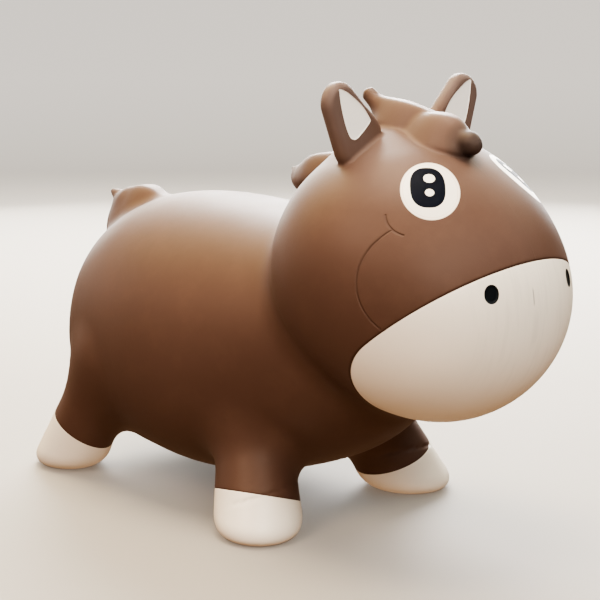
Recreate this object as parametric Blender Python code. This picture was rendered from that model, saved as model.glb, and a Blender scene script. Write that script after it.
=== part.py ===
# Hopper horse: an inflatable ride-on toy, moulded from soft PVC.
# +X is forward (nose), +Y is the horse's left, +Z is up; the floor is z = 0.
# Metres throughout. The origin lies on the floor under the middle of the toy.
#
# Every outer surface is the zero level of a smooth distance-like function, so
# neighbouring shells share one shape and keep an even seam between them.

import math

import bmesh
import bpy
import numpy as np

for old in list(bpy.data.objects):
    bpy.data.objects.remove(old, do_unlink=True)

# ---------------------------------------------------------------- dimensions
WALL = 0.0025            # thickness of the moulded wall
SEAM = 0.0005            # half of the seam between two shells of one body
CREASE = 0.0009          # room left on each side of the neck crease
LEG_PLAY = 0.0026        # room around a leg where it runs into the torso
EAR_PLAY = 0.0016        # room around an ear where it passes the head wall

TORSO_C = (-0.1296, 0.0, 0.1480)
TORSO_REAR, TORSO_FRONT = 0.1830, 0.2500
TORSO_HALF_WIDTH = 0.1380
TORSO_UP, TORSO_DOWN = 0.1600, 0.1225
TORSO_POWER = 2.134
NECK_A, NECK_B = (-0.0612, 0.0, 0.1640), (0.0620, 0.0, 0.1896)
NECK_RA, NECK_RB, NECK_BLEND = 0.1223, 0.1098, 0.06

CRANIUM_C, CRANIUM_S = (0.1558, 0.0, 0.2671), (0.1268, 0.1406, 0.1268)
SNOUT_C, SNOUT_S = (0.1944, 0.0, 0.2439), (0.1182, 0.1260, 0.1182)
HEAD_BLEND = 0.02
MUZZLE_TOP_X, MUZZLE_TOP_Z, MUZZLE_SLOPE = 0.3027, 0.2911, 0.80
MUZZLE_REAR_X, MUZZLE_CORNER = 0.1740, 0.041

# a leg is a tapered round bar from a root inside the torso to below the sole
FRONT_LEG = ((0.0023, 0.0668, 0.1293), (0.0635, 0.1135, -0.0147), 0.0333, 0.0473)
REAR_LEG = ((-0.1882, 0.0975, 0.1293), (-0.2703, 0.1049, -0.0147), 0.0288, 0.0411)
LEG_TOP = -0.0200        # the leg's domed top is open above this station of its axis
SOLE_ROUND = 0.0218
FRONT_CUFF = (-0.0059, 0.3538, 0.1394)      # z = a + b |y| + c x
REAR_CUFF = (-0.1271, 0.3338, -0.5950)

EAR_TOP, EAR_INNER, EAR_OUTER = (0.0837, 0.4245), (0.0524, 0.3948), (0.0699, 0.3843)
EAR_X, EAR_TILT, EAR_ROUND = 0.1450, -0.05, 0.0200
EAR_FRONT, EAR_BACK = 0.0045, 0.0213
EAR_MID_Z = 0.41
EAR_ROOT_DEPTH = 0.0075
EAR_HINGE = (0.1366, 0.0560, 0.3815)
EAR_LONG = (0.0, 0.5400, 0.8417)
LINING = ((0.0888, 0.4350), (0.0570, 0.4095), (0.0771, 0.4000))
LINING_ROUND = 0.0035

FORELOCK = (((0.1656, 0, 0.3964), 0.0152), ((0.1867, 0, 0.3904), 0.0214),
            ((0.2083, 0, 0.3947), 0.0140), ((0.2269, 0, 0.3885), 0.0094))
POLL_LOCK = (((0.1592, 0, 0.3896), 0.0294), ((0.1353, 0, 0.4062), 0.0140),
             ((0.1055, 0, 0.4159), 0.0097), ((0.0997, 0, 0.4254), 0.0078))
NAPE_LOCK = (((0.0577, 0, 0.3392), 0.0330), ((0.0273, 0, 0.3377), 0.0203),
             ((-0.0026, 0, 0.3473), 0.0053))
TAIL_ROOT, TAIL_ROOT_R = (-0.2480, 0.0, 0.2650), 0.0374
TAIL = (((-0.2505, 0, 0.2742), 0.0265), ((-0.2848, 0, 0.2866), 0.0090),
        ((-0.3078, 0, 0.2938), 0.0029))
TAIL_ROOT_DEPTH = 0.0070

# printed marks: they are laid on along one slanting direction, seen as rounds
MARK_AXIS = (0.7041, -0.6800, 0.2045)
EYE_AT, EYE_R = (0.2309, -0.0607, 0.3520), 0.0267
PUPIL_SHIFT, PUPIL_R = (-0.0019, 0.0030), (0.0155, 0.0176)
GLINT_UP_SHIFT, GLINT_UP_R = (-0.0004, 0.0115), (0.0053, 0.0041)
GLINT_LOW_SHIFT, GLINT_LOW_R = (-0.0008, -0.0017), (0.0041, 0.0034)
NOSTRIL_AT, NOSTRIL_R = (0.2998, -0.0563, 0.2684), (0.0067, 0.0085)

VALVE_X = TORSO_C[0]
BELLY_Z = TORSO_C[2] - TORSO_DOWN

BROWN = (0.155, 0.062, 0.030)
WHITE = (0.72, 0.66, 0.58)
INK = (0.012, 0.014, 0.022)
VALVE_TAN = (0.20, 0.09, 0.05)


# ------------------------------------------------------------ shape functions
def soft_min(a, b, k):
    h = np.clip(0.5 + 0.5 * (b - a) / k, 0.0, 1.0)
    return b + (a - b) * h - k * h * (1.0 - h)


def soft_max(a, b, k):
    return -soft_min(-a, -b, k)


def ovoid(p, c, s):
    q = p - np.asarray(c)
    s = np.asarray(s)
    k0 = np.linalg.norm(q / s, axis=-1)
    k1 = np.linalg.norm(q / (s * s), axis=-1)
    return k0 * (k0 - 1.0) / np.maximum(k1, 1e-9)


def taper_bar(p, a, b, ra, rb):
    """Distance to the hull of two balls (a, ra) and (b, rb)."""
    a = np.asarray(a, float)
    b = np.asarray(b, float)
    ab = b - a
    length = np.linalg.norm(ab)
    u = ab / length
    q = p - a
    t = q @ u
    w = np.linalg.norm(q - t[..., None] * u, axis=-1)
    s = (ra - rb) / length
    c = math.sqrt(max(1.0 - s * s, 1e-9))
    foot = t + w * s / c            # where the nearest cone line leaves the axis
    h = np.clip(foot / length, 0.0, 1.0)
    return np.hypot(w, t - h * length) - (ra + h * (rb - ra))


def bar_chain(p, balls, k=0.008):
    d = None
    for (a, ra), (b, rb) in zip(balls[:-1], balls[1:]):
        e = taper_bar(p, a, b, ra, rb)
        d = e if d is None else soft_min(d, e, k)
    return d


def fold(p):
    q = np.array(p)
    q[..., 1] = np.abs(q[..., 1])
    return q


def torso_field(p):
    s = np.stack([np.where(p[..., 0] < TORSO_C[0], TORSO_REAR, TORSO_FRONT),
                  np.full(p.shape[:-1], TORSO_HALF_WIDTH),
                  np.where(p[..., 2] > TORSO_C[2], TORSO_UP, TORSO_DOWN)], -1)
    u = np.abs(p - np.array(TORSO_C)) / s
    g = np.maximum((u ** TORSO_POWER).sum(-1), 1e-12) ** (1.0 / TORSO_POWER)
    slope = (u ** (TORSO_POWER - 1.0)) / s * g[..., None] ** (1.0 - TORSO_POWER)
    barrel = (g - 1.0) / np.maximum(np.linalg.norm(slope, axis=-1), 1e-9)
    return soft_min(barrel, taper_bar(p, NECK_A, NECK_B, NECK_RA, NECK_RB), NECK_BLEND)


def head_field(p):
    return soft_min(ovoid(p, CRANIUM_C, CRANIUM_S), ovoid(p, SNOUT_C, SNOUT_S), HEAD_BLEND)


def muzzle_cut(p):
    """Below zero on the white muzzle, above zero on the brown head."""
    top = (p[..., 2] - MUZZLE_TOP_Z - MUZZLE_SLOPE * (p[..., 0] - MUZZLE_TOP_X)) \
        / math.hypot(1.0, MUZZLE_SLOPE)
    rear = MUZZLE_REAR_X - p[..., 0]
    return soft_max(top, rear, MUZZLE_CORNER)


def leg_field(p, leg):
    return taper_bar(fold(p), *leg)


def cuff_cut(p, cuff):
    """Above zero on the leg, below zero on the white hoof."""
    return (p[..., 2] - cuff[0] - cuff[1] * np.abs(p[..., 1]) - cuff[2] * p[..., 0]) \
        / math.sqrt(1.0 + cuff[1] ** 2 + cuff[2] ** 2)


def corner_distance(u, w, a, b, c):
    """Distance in the plane to the triangle a, b, c; zero inside it."""
    def side(p0, p1):
        dx, dw = p1[0] - p0[0], p1[1] - p0[1]
        h = np.clip(((u - p0[0]) * dx + (w - p0[1]) * dw) / (dx * dx + dw * dw), 0.0, 1.0)
        return np.hypot(u - p0[0] - h * dx, w - p0[1] - h * dw)

    def turn(p0, p1):
        return (p1[0] - p0[0]) * (w - p0[1]) - (p1[1] - p0[1]) * (u - p0[0])
    d = np.minimum(np.minimum(side(a, b), side(b, c)), side(c, a))
    t1, t2, t3 = turn(a, b), turn(b, c), turn(c, a)
    inside = ((t1 >= 0) & (t2 >= 0) & (t3 >= 0)) | ((t1 <= 0) & (t2 <= 0) & (t3 <= 0))
    return np.where(inside, 0.0, d)


def ear_field(p, wall=0.0):
    q = fold(p)
    x = q[..., 0] - EAR_X - EAR_TILT * (q[..., 2] - EAR_MID_Z)
    d = corner_distance(q[..., 1], q[..., 2], EAR_TOP, EAR_INNER, EAR_OUTER)
    r = EAR_ROUND - wall
    t = np.where(x > 0, EAR_FRONT - wall, EAR_BACK - wall)
    a, b = d / r, x / t
    g = np.sqrt(a * a + b * b)
    slope = np.sqrt((a / r) ** 2 + (b / t) ** 2)
    return (g - 1.0) * g / np.maximum(slope, 1e-6)


def forelock_field(p):
    return bar_chain(p, FORELOCK, 0.012)


def poll_field(p):
    return bar_chain(p, POLL_LOCK)


def nape_field(p):
    return bar_chain(p, NAPE_LOCK)


def tail_ball(p):
    return np.linalg.norm(p - np.array(TAIL_ROOT), axis=-1) - TAIL_ROOT_R


# -------------------------------------------------------------- mesh building
def unit(v):
    v = np.asarray(v, float)
    return v / np.linalg.norm(v)


def ball_directions(steps, stretch=(1.0, 1.0, 1.0)):
    """Unit directions and triangles of a finely divided icosahedron."""
    bm = bmesh.new()
    bmesh.ops.create_icosphere(bm, subdivisions=1, radius=1.0)
    if steps > 1:
        bmesh.ops.subdivide_edges(bm, edges=bm.edges[:], cuts=steps - 1, use_grid_fill=True)
    bmesh.ops.triangulate(bm, faces=bm.faces[:])
    bm.verts.ensure_lookup_table()
    dirs = np.array([v.co[:] for v in bm.verts], float)
    tris = [tuple(v.index for v in f.verts) for f in bm.faces]
    bm.free()
    dirs /= np.linalg.norm(dirs, axis=1, keepdims=True)
    dirs = dirs * np.asarray(stretch, float)
    dirs /= np.linalg.norm(dirs, axis=1, keepdims=True)
    return dirs, tris


def reach(centre, dirs, field, far):
    """Points where rays from the centre first leave the field's inside."""
    centre = np.asarray(centre, float)
    n = 64
    ts = np.linspace(0.0, far, n + 1)
    lo = np.zeros(len(dirs))
    hi = np.full(len(dirs), far)
    done = np.zeros(len(dirs), bool)
    for i in range(1, n + 1):
        v = field(centre + dirs * ts[i])
        now = (v > 0) & ~done
        lo[now], hi[now] = ts[i - 1], ts[i]
        done |= now
    for _ in range(32):
        mid = 0.5 * (lo + hi)
        out = field(centre + dirs * mid[:, None]) > 0
        hi = np.where(out, mid, hi)
        lo = np.where(out, lo, mid)
    return centre + dirs * (0.5 * (lo + hi))[:, None]


class Patch:
    """Triangles over a set of directions from one centre."""

    def __init__(self, centre, dirs, tris, outer, inner, far, keep):
        self.c = np.asarray(centre, float)
        self.d, self.t = dirs, tris
        self.outer, self.inner, self.far, self.keep = outer, inner, far, keep

    def value(self, dirs):
        po = reach(self.c, dirs, self.outer, self.far)
        pi = reach(self.c, dirs, self.inner, self.far)
        return self.keep(po, pi)

    def refine(self, edge):
        """Halve the edges that are longer than wanted near the rim."""
        for _ in range(3):
            po = reach(self.c, self.d, self.outer, self.far)
            g = self.keep(po, reach(self.c, self.d, self.inner, self.far))
            mids, extra = {}, []
            for tri in self.t:
                for a, b in ((tri[0], tri[1]), (tri[1], tri[2]), (tri[2], tri[0])):
                    key = (min(a, b), max(a, b))
                    if key in mids:
                        continue
                    long = np.linalg.norm(po[a] - po[b])
                    near = g[a] * g[b] < 0 or min(abs(g[a]), abs(g[b])) < 0.25 * long
                    if long > edge and near and max(g[a], g[b]) > -long:
                        mids[key] = len(self.d) + len(extra)
                        extra.append(unit(self.d[a] + self.d[b]))
            if not extra:
                return
            new = []
            for a, b, c in self.t:
                m = [mids.get((min(p, q), max(p, q))) for p, q in ((a, b), (b, c), (c, a))]
                count = sum(x is not None for x in m)
                if count == 0:
                    new.append((a, b, c))
                elif count == 3:
                    new += [(a, m[0], m[2]), (m[0], b, m[1]), (m[2], m[1], c), (m[0], m[1], m[2])]
                else:
                    v = [a, b, c]
                    if count == 1:
                        i = next(j for j in range(3) if m[j] is not None)
                        p, q, r = v[i], v[(i + 1) % 3], v[(i + 2) % 3]
                        new += [(p, m[i], r), (m[i], q, r)]
                    else:
                        i = next(j for j in range(3) if m[j] is None)
                        p, q, r = v[i], v[(i + 1) % 3], v[(i + 2) % 3]
                        mq, mr = m[(i + 1) % 3], m[(i + 2) % 3]
                        new += [(r, mr, mq), (p, q, mq), (p, mq, mr)]
            self.d = np.vstack([self.d, np.array(extra)])
            self.t = new

    def cut(self):
        """Keep the part where the value is above zero, with a clean rim."""
        g = self.value(self.d)
        edges = set()
        for tri in self.t:
            for a, b in ((tri[0], tri[1]), (tri[1], tri[2]), (tri[2], tri[0])):
                if g[a] * g[b] < 0:
                    edges.add((min(a, b), max(a, b)))
        edges = sorted(edges)
        if not edges:
            return self._drop(g)
        ia = np.array([e[0] for e in edges])
        ib = np.array([e[1] for e in edges])
        lo, hi = np.zeros(len(edges)), np.ones(len(edges))
        ga = g[ia]
        for _ in range(22):
            mid = 0.5 * (lo + hi)
            d = self.d[ia] * (1 - mid)[:, None] + self.d[ib] * mid[:, None]
            d /= np.linalg.norm(d, axis=1, keepdims=True)
            same = self.value(d) * ga > 0
            lo = np.where(same, mid, lo)
            hi = np.where(same, hi, mid)
        t = 0.5 * (lo + hi)
        cross = self.d[ia] * (1 - t)[:, None] + self.d[ib] * t[:, None]
        cross /= np.linalg.norm(cross, axis=1, keepdims=True)
        # a corner close to the rim moves onto it, so no slivers are left
        moved = {}
        for k in np.argsort(np.minimum(t, 1 - t)):
            near = t[k] < 0.22 or t[k] > 0.78
            v = int(ia[k]) if t[k] < 0.5 else int(ib[k])
            if near and v not in moved:
                moved[v] = cross[k]
        dirs = self.d.copy()
        for v, d in moved.items():
            dirs[v] = d
            g[v] = 0.0
        points, extra = {}, []
        for k, e in enumerate(edges):
            if e[0] in moved or e[1] in moved:
                continue
            points[e] = len(dirs) + len(extra)
            extra.append(cross[k])
        if extra:
            dirs = np.vstack([dirs, np.array(extra)])
        new = []
        for tri in self.t:
            s = [0 if g[v] == 0 else (1 if g[v] > 0 else -1) for v in tri]
            if min(s) >= 0:
                if max(s) > 0:
                    new.append(tri)
                continue
            if max(s) <= 0:
                continue
            ring = []
            for i in range(3):
                a, b = tri[i], tri[(i + 1) % 3]
                if s[i] >= 0:
                    ring.append(a)
                key = (min(a, b), max(a, b))
                if s[i] * s[(i + 1) % 3] < 0 and key in points:
                    ring.append(points[key])
            for i in range(1, len(ring) - 1):
                new.append((ring[0], ring[i], ring[i + 1]))
        self.d = dirs
        self.t = new
        self._compact()

    def _drop(self, g):
        self.t = [t for t in self.t if min(g[v] for v in t) >= 0]
        self._compact()

    def _compact(self):
        used = sorted({v for t in self.t for v in t})
        index = {v: i for i, v in enumerate(used)}
        self.d = self.d[used]
        self.t = [tuple(index[v] for v in t) for t in self.t]

    def shift_rim(self, amount, field):
        """Move the rim away from a cut, along the field's slope."""
        po = reach(self.c, self.d, self.outer, self.far)
        for v in rim_corners(self.t):
            p = po[v]
            if abs(float(field(p[None])[0])) > 1e-4:
                continue
            h = 1e-5
            slope = np.array([(field((p + h * e)[None])[0] - field((p - h * e)[None])[0]) / (2 * h)
                              for e in np.eye(3)])
            out = unit(p - self.c)
            slope -= out * (slope @ out)
            self.d[v] = unit(p + slope / np.linalg.norm(slope) * amount - self.c)

    def solid(self):
        po = reach(self.c, self.d, self.outer, self.far)
        pi = reach(self.c, self.d, self.inner, self.far)
        return close_shell(po, pi, self.t)


def rim_edges(tris):
    seen = set()
    for t in tris:
        for a, b in ((t[0], t[1]), (t[1], t[2]), (t[2], t[0])):
            seen.add((a, b))
    return sorted((a, b) for a, b in seen if (b, a) not in seen)


def rim_corners(tris):
    return sorted({v for e in rim_edges(tris) for v in e})


def close_shell(po, pi, tris):
    n = len(po)
    faces = [tuple(t) for t in tris]
    faces += [(t[2] + n, t[1] + n, t[0] + n) for t in tris]
    for a, b in rim_edges(tris):
        faces += [(b, a, a + n), (b, a + n, b + n)]
    return np.vstack([po, pi]), faces


def band_mesh(rows):
    """Triangles between rows of points; a row of one point is a pole."""
    start, total = [], 0
    for r in rows:
        start.append(total)
        total += len(r)
    faces = []
    for k in range(len(rows) - 1):
        a, b = rows[k], rows[k + 1]
        n = max(len(a), len(b))
        for i in range(n):
            j = (i + 1) % n
            if len(a) == 1:
                faces.append((start[k], start[k + 1] + i, start[k + 1] + j))
            elif len(b) == 1:
                faces.append((start[k] + i, start[k + 1], start[k] + j))
            else:
                faces.append((start[k] + i, start[k + 1] + i, start[k + 1] + j))
                faces.append((start[k] + i, start[k + 1] + j, start[k] + j))
    return np.vstack([np.asarray(r) for r in rows]), faces


def finish_mat(name, colour, rough):
    mat = bpy.data.materials.new(name + "_finish")
    mat.use_nodes = True
    b = mat.node_tree.nodes["Principled BSDF"]
    b.inputs["Base Color"].default_value = (*colour, 1.0)
    b.inputs["Roughness"].default_value = rough
    b.inputs["Metallic"].default_value = 0.0
    mat.diffuse_color = (*colour, 1.0)
    return mat


def place(name, verts, faces, colour, rough, origin=(0.0, 0.0, 0.0), mirror=False):
    verts = np.array(verts, float)
    if mirror:
        verts[:, 1] *= -1.0
    verts = verts - np.asarray(origin, float)
    mesh = bpy.data.meshes.new(name)
    mesh.from_pydata([tuple(v) for v in verts], [], [tuple(int(i) for i in f) for f in faces])
    bm = bmesh.new()
    bm.from_mesh(mesh)
    bmesh.ops.recalc_face_normals(bm, faces=bm.faces[:])
    if bm.calc_volume(signed=True) < 0:
        bmesh.ops.reverse_faces(bm, faces=bm.faces[:])
    bm.to_mesh(mesh)
    bm.free()
    mesh.shade_smooth()
    mesh.set_sharp_from_angle(angle=math.radians(40))
    obj = bpy.data.objects.new(name, mesh)
    obj.location = origin
    bpy.context.collection.objects.link(obj)
    mesh.materials.append(finish_mat(name, colour, rough))
    return obj


# --------------------------------------------------------------- torso shell
def torso_keep(po, pi):
    worst = None
    for p in (po, pi):
        g = head_field(p) - CREASE
        g = np.minimum(g, leg_field(p, FRONT_LEG) - LEG_PLAY)
        g = np.minimum(g, leg_field(p, REAR_LEG) - LEG_PLAY)
        g = np.minimum(g, tail_ball(p) - 0.0010)
        worst = g if worst is None else np.minimum(worst, g)
    return worst


dirs, tris = ball_directions(7)
torso = Patch((-0.110, 0.0, 0.160), dirs, tris, torso_field,
              lambda p: torso_field(p) + WALL, 0.40, torso_keep)
torso.refine(0.017)
torso.cut()
verts, faces = torso.solid()
torso_obj = place("torso_shell", verts, faces, BROWN, 0.45)

# the round hole in the belly wall that the valve body is welded into
bm = bmesh.new()
bmesh.ops.create_cone(bm, cap_ends=True, segments=28, radius1=0.0120, radius2=0.0120, depth=0.020)
cut_mesh = bpy.data.meshes.new("valve_hole")
bm.to_mesh(cut_mesh)
bm.free()
valve_hole = bpy.data.objects.new("valve_hole", cut_mesh)
valve_hole.location = (VALVE_X, 0.0, BELLY_Z)
valve_hole.hide_render = True
valve_hole.display_type = 'WIRE'
bpy.context.collection.objects.link(valve_hole)
hole = torso_obj.modifiers.new("valve_hole", 'BOOLEAN')
hole.operation = 'DIFFERENCE'
hole.solver = 'EXACT'
hole.object = valve_hole


# ------------------------------------------------- head shell, muzzle shell
HEAD_CENTRE = (0.168, 0.0, 0.256)


def head_common(po, pi):
    worst = None
    for p in (po, pi):
        g = torso_field(p) - CREASE
        g = np.minimum(g, ear_field(p) - EAR_PLAY)
        worst = g if worst is None else np.minimum(worst, g)
    return worst


dirs, tris = ball_directions(6)
for name, sign, colour in (("head_shell", 1.0, BROWN), ("muzzle_shell", -1.0, WHITE)):
    part = Patch(HEAD_CENTRE, dirs.copy(), list(tris), head_field,
                 lambda p: head_field(p) + WALL, 0.25,
                 lambda po, pi: head_common(po, pi))
    part.refine(0.012)
    part.cut()
    part.keep = lambda po, pi, s=sign: s * muzzle_cut(po)
    part.refine(0.017)
    part.cut()
    part.shift_rim(sign * SEAM, muzzle_cut)
    verts, faces = part.solid()
    place(name, verts, faces, colour, 0.45 if sign > 0 else 0.40)


# ------------------------------------------------------------ legs and hooves
SIDES = 20


def leg_frame(leg):
    a, b = np.array(leg[0]), np.array(leg[1])
    u = unit(b - a)
    e = unit(np.cross(u, (0.0, 1.0, 0.0)))
    return a, u, e, np.cross(u, e)


def ring(leg, wall, t, k):
    """Point of the leg's surface at station t (array) and side k (array)."""
    a, u, e, f = leg_frame(leg)
    ang = 2.0 * math.pi * k / SIDES
    d = np.cos(ang)[:, None] * e + np.sin(ang)[:, None] * f
    return reach(a + t[:, None] * u, d, lambda p: leg_field(p, leg) + wall, 0.12)


def leg_tube(leg, cuff):
    k = np.arange(SIDES, dtype=float)
    walls = {}
    for wall in (0.0, WALL):
        lo, hi = np.full(SIDES, 0.02), np.full(SIDES, 0.16)
        for _ in range(20):
            mid = 0.5 * (lo + hi)
            above = cuff_cut(ring(leg, wall, mid, k), cuff) > SEAM
            lo = np.where(above, mid, lo)
            hi = np.where(above, hi, mid)
        walls[wall] = lo
    rows = []
    shares = (0.0, 0.08, 0.2, 0.45, 0.72, 1.0)
    for share in shares:
        rows.append(ring(leg, 0.0, LEG_TOP + (walls[0.0] - LEG_TOP) * share, k))
    for share in reversed(shares):
        rows.append(ring(leg, WALL, LEG_TOP + (walls[WALL] - LEG_TOP) * share, k))
    verts, faces = band_mesh(rows)
    n = len(verts)
    last = n - SIDES
    for i in range(SIDES):
        j = (i + 1) % SIDES
        faces.append((last + i, i, j))
        faces.append((last + i, j, last + j))
    return verts, faces


def hoof_cup(leg, cuff):
    a, u, e, f = leg_frame(leg)
    n_up = unit((-cuff[2], -cuff[1], 1.0))
    t = 0.0
    for _ in range(60):                       # where the axis meets the cuff plane
        t += cuff_cut((a + u * t)[None], cuff)[0] / max(-(u @ n_up), 0.1)
    c = a + u * t - n_up * SEAM
    angs = 2.0 * math.pi * np.arange(SIDES) / SIDES
    level = np.stack([np.cos(angs), np.sin(angs), np.zeros(SIDES)], -1)

    def outer(p):
        return soft_max(leg_field(p, leg), -p[..., 2], SOLE_ROUND)

    def inner(p):
        return outer(p) + WALL

    def outline(z, scale):
        """Points round the hoof at one height, drawn in towards its middle."""
        mid = a + u * ((z - a[2]) / u[2])
        edge = reach(mid, level, lambda p: leg_field(p, leg), 0.12)
        return mid + (edge - mid) * scale
    rim = level - (level @ n_up)[:, None] * n_up
    aims = [c + 0.05 * rim / np.linalg.norm(rim, axis=1, keepdims=True)]
    foot = outline(0.014, 1.0)
    aims.append(0.5 * (reach(c, aims[0] - c, outer, 1.6) + foot))
    aims += [foot, outline(0.0045, 0.965), outline(0.0, 0.80), outline(0.0, 0.45)]
    rows_o, rows_i = [], []
    for aim in aims:
        d = aim - c
        d /= np.linalg.norm(d, axis=1, keepdims=True)
        rows_o.append(reach(c, d, outer, 0.12))
        rows_i.append(reach(c, d, inner, 0.12))
    down = unit(outline(0.0, 0.0)[0] - c)[None]
    rows_o.append(reach(c, down, outer, 0.12))
    rows_i.append(reach(c, down, inner, 0.12))
    verts, faces = band_mesh(rows_o)
    vi, fi = band_mesh(rows_i)
    n = len(verts)
    faces += [(t3 + n, t2 + n, t1 + n) for t1, t2, t3 in fi]
    for i in range(SIDES):
        j = (i + 1) % SIDES
        faces.append((i, j, j + n))
        faces.append((i, j + n, i + n))
    return np.vstack([verts, vi]), faces


for end, leg, cuff in (("front", FRONT_LEG, FRONT_CUFF), ("rear", REAR_LEG, REAR_CUFF)):
    tube_v, tube_f = leg_tube(leg, cuff)
    cup_v, cup_f = hoof_cup(leg, cuff)
    for side, mirror in (("left", False), ("right", True)):
        root = np.array(leg[0])
        if mirror:
            root = root * (1, -1, 1)
        place(f"leg_{end}_{side}", tube_v, tube_f, BROWN, 0.45, origin=root, mirror=mirror)
        place(f"hoof_{end}_{side}", cup_v, cup_f, WHITE, 0.40, origin=root, mirror=mirror)


# -------------------------------------------------------- ears and ear linings
ear_core = (0.1375, 0.0690, 0.4030)
dirs, tris = ball_directions(5)
ear = Patch(ear_core, dirs, tris, ear_field, lambda p: ear_field(p, WALL), 0.09,
            lambda po, pi: np.minimum(head_field(po), head_field(pi)) + EAR_ROOT_DEPTH)
ear.refine(0.012)
ear.cut()
ear_v, ear_f = ear.solid()


def lining_plate():
    """A thin leaf that lies on the ear's front face."""
    cy = sum(p[0] for p in LINING) / 3.0
    cz = sum(p[1] for p in LINING) / 3.0
    n = 27
    ang = 2.0 * math.pi * np.arange(n) / n
    lo, hi = np.zeros(n), np.full(n, 0.05)
    for _ in range(30):
        mid = 0.5 * (lo + hi)
        out = corner_distance(cy + np.cos(ang) * mid, cz + np.sin(ang) * mid, *LINING) > LINING_ROUND
        hi = np.where(out, mid, hi)
        lo = np.where(out, lo, mid)

    def layer(scale, lift):
        y = cy + np.cos(ang) * lo * scale
        z = cz + np.sin(ang) * lo * scale
        d = corner_distance(y, z, EAR_TOP, EAR_INNER, EAR_OUTER)
        x = EAR_X + EAR_TILT * (z - EAR_MID_Z) + EAR_FRONT * np.sqrt(np.maximum(1 - (d / EAR_ROUND) ** 2, 0)) + lift
        return np.stack([x, y, z], -1)
    low, high = 0.0004, 0.0012
    rows = [layer(0.0, low)[:1], layer(0.5, low), layer(1.0, low),
            layer(1.0, high), layer(0.5, high), layer(0.0, high)[:1]]
    return band_mesh(rows)


lin_v, lin_f = lining_plate()
for side, mirror in (("left", False), ("right", True)):
    hinge = np.array(EAR_HINGE) * ((1, -1, 1) if mirror else (1, 1, 1))
    place(f"ear_{side}", ear_v, ear_f, BROWN, 0.45, origin=hinge, mirror=mirror)
    place(f"ear_lining_{side}", lin_v, lin_f, WHITE, 0.40, origin=hinge, mirror=mirror)


# ------------------------------------------------------------- printed marks
MARK_N = unit(MARK_AXIS)
MARK_U = unit(np.cross((0.0, 0.0, 1.0), MARK_N))
MARK_V = np.cross(MARK_N, MARK_U)


def mark_plate(at, shift, radii, low, high, sides, rings, power=2.0):
    """A thin printed spot that follows the head's curve."""
    c = np.asarray(at) + MARK_U * shift[0] + MARK_V * shift[1]
    ang = 2.0 * math.pi * np.arange(sides) / sides
    ca, sa = np.cos(ang), np.sin(ang)
    ca = np.sign(ca) * np.abs(ca) ** (2.0 / power)
    sa = np.sign(sa) * np.abs(sa) ** (2.0 / power)

    def layer(scale, lift):
        flat = c + scale * (radii[0] * ca[:, None] * MARK_U + radii[1] * sa[:, None] * MARK_V)
        return reach(flat - MARK_N * 0.035, np.repeat(MARK_N[None], sides, 0),
                     lambda p: head_field(p) - lift, 0.10)
    steps = [k / rings for k in range(rings + 1)]
    rows = [layer(0.0, low)[:1]] + [layer(s, low) for s in steps[1:]]
    rows += [layer(s, high) for s in reversed(steps[1:])] + [layer(0.0, high)[:1]]
    return band_mesh(rows)


MARKS = (
    ("eye_white", EYE_AT, (0.0, 0.0), (EYE_R, EYE_R), 0.0006, 0.0012, 24, 3, 2.0, WHITE, 0.35),
    ("eye_pupil", EYE_AT, PUPIL_SHIFT, PUPIL_R, 0.0017, 0.0022, 20, 2, 2.3, INK, 0.30),
    ("eye_glint_upper", EYE_AT, GLINT_UP_SHIFT, GLINT_UP_R, 0.0026, 0.0031, 12, 1, 2.0, WHITE, 0.35),
    ("eye_glint_lower", EYE_AT, GLINT_LOW_SHIFT, GLINT_LOW_R, 0.0026, 0.0031, 12, 1, 2.0, WHITE, 0.35),
    ("nostril", NOSTRIL_AT, (0.0, 0.0), NOSTRIL_R, 0.0005, 0.0010, 14, 1, 2.2, INK, 0.45),
)
for name, at, shift, radii, low, high, sides, rings, power, colour, rough in MARKS:
    verts, faces = mark_plate(at, shift, radii, low, high, sides, rings, power)
    place(name + "_right", verts, faces, colour, rough)
    place(name + "_left", verts, faces, colour, rough, mirror=True)


# ------------------------------------------------------------- mane and tail
def pebble(centre, pole, skin, base, sides, rows_skin, rows_base, stretch=1.0, far=0.12):
    """A closed lump inside both fields, with its corners along their shared edge."""
    c = np.asarray(centre, float)
    pole = unit(pole)
    e = unit(np.cross((0.0, 1.0, 0.0), pole))
    f = np.cross(pole, e)
    ang = 2.0 * math.pi * np.arange(sides) / sides
    ca, sa = np.cos(ang), np.sin(ang) * stretch
    size = np.hypot(ca, sa)
    level = (ca / size)[:, None] * e + (sa / size)[:, None] * f

    def point(theta, field):
        d = np.cos(theta)[:, None] * pole + np.sin(theta)[:, None] * level
        return reach(c, d, field, far)
    lo, hi = np.full(sides, 0.02), np.full(sides, math.pi - 0.02)
    for _ in range(26):
        mid = 0.5 * (lo + hi)
        first = np.linalg.norm(point(mid, skin) - c, axis=1) \
            < np.linalg.norm(point(mid, base) - c, axis=1)
        lo = np.where(first, mid, lo)
        hi = np.where(first, hi, mid)
    edge = 0.5 * (lo + hi)

    def even(start, end, field, count):
        """Rows evenly spaced along the surface between two angles."""
        fine = 48
        share = np.linspace(0.0, 1.0, fine + 1)
        pts = np.array([point(start + (end - start) * w, field) for w in share])
        run = np.concatenate([np.zeros((1, sides)),
                              np.cumsum(np.linalg.norm(np.diff(pts, axis=0), axis=2), 0)])
        rows = []
        for k in range(1, count):
            w = np.array([np.interp(run[-1, i] * k / count, run[:, i], share)
                          for i in range(sides)])
            rows.append(point(start + (end - start) * w, field))
        return rows
    zero, full = np.zeros(sides), np.full(sides, math.pi)
    rows = [reach(c, pole[None], skin, far)]
    rows += even(zero, edge, skin, rows_skin)
    rows.append(point(edge, skin))
    rows += even(edge, full, base, rows_base)
    rows.append(reach(c, -pole[None], base, far))
    return band_mesh(rows)


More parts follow.
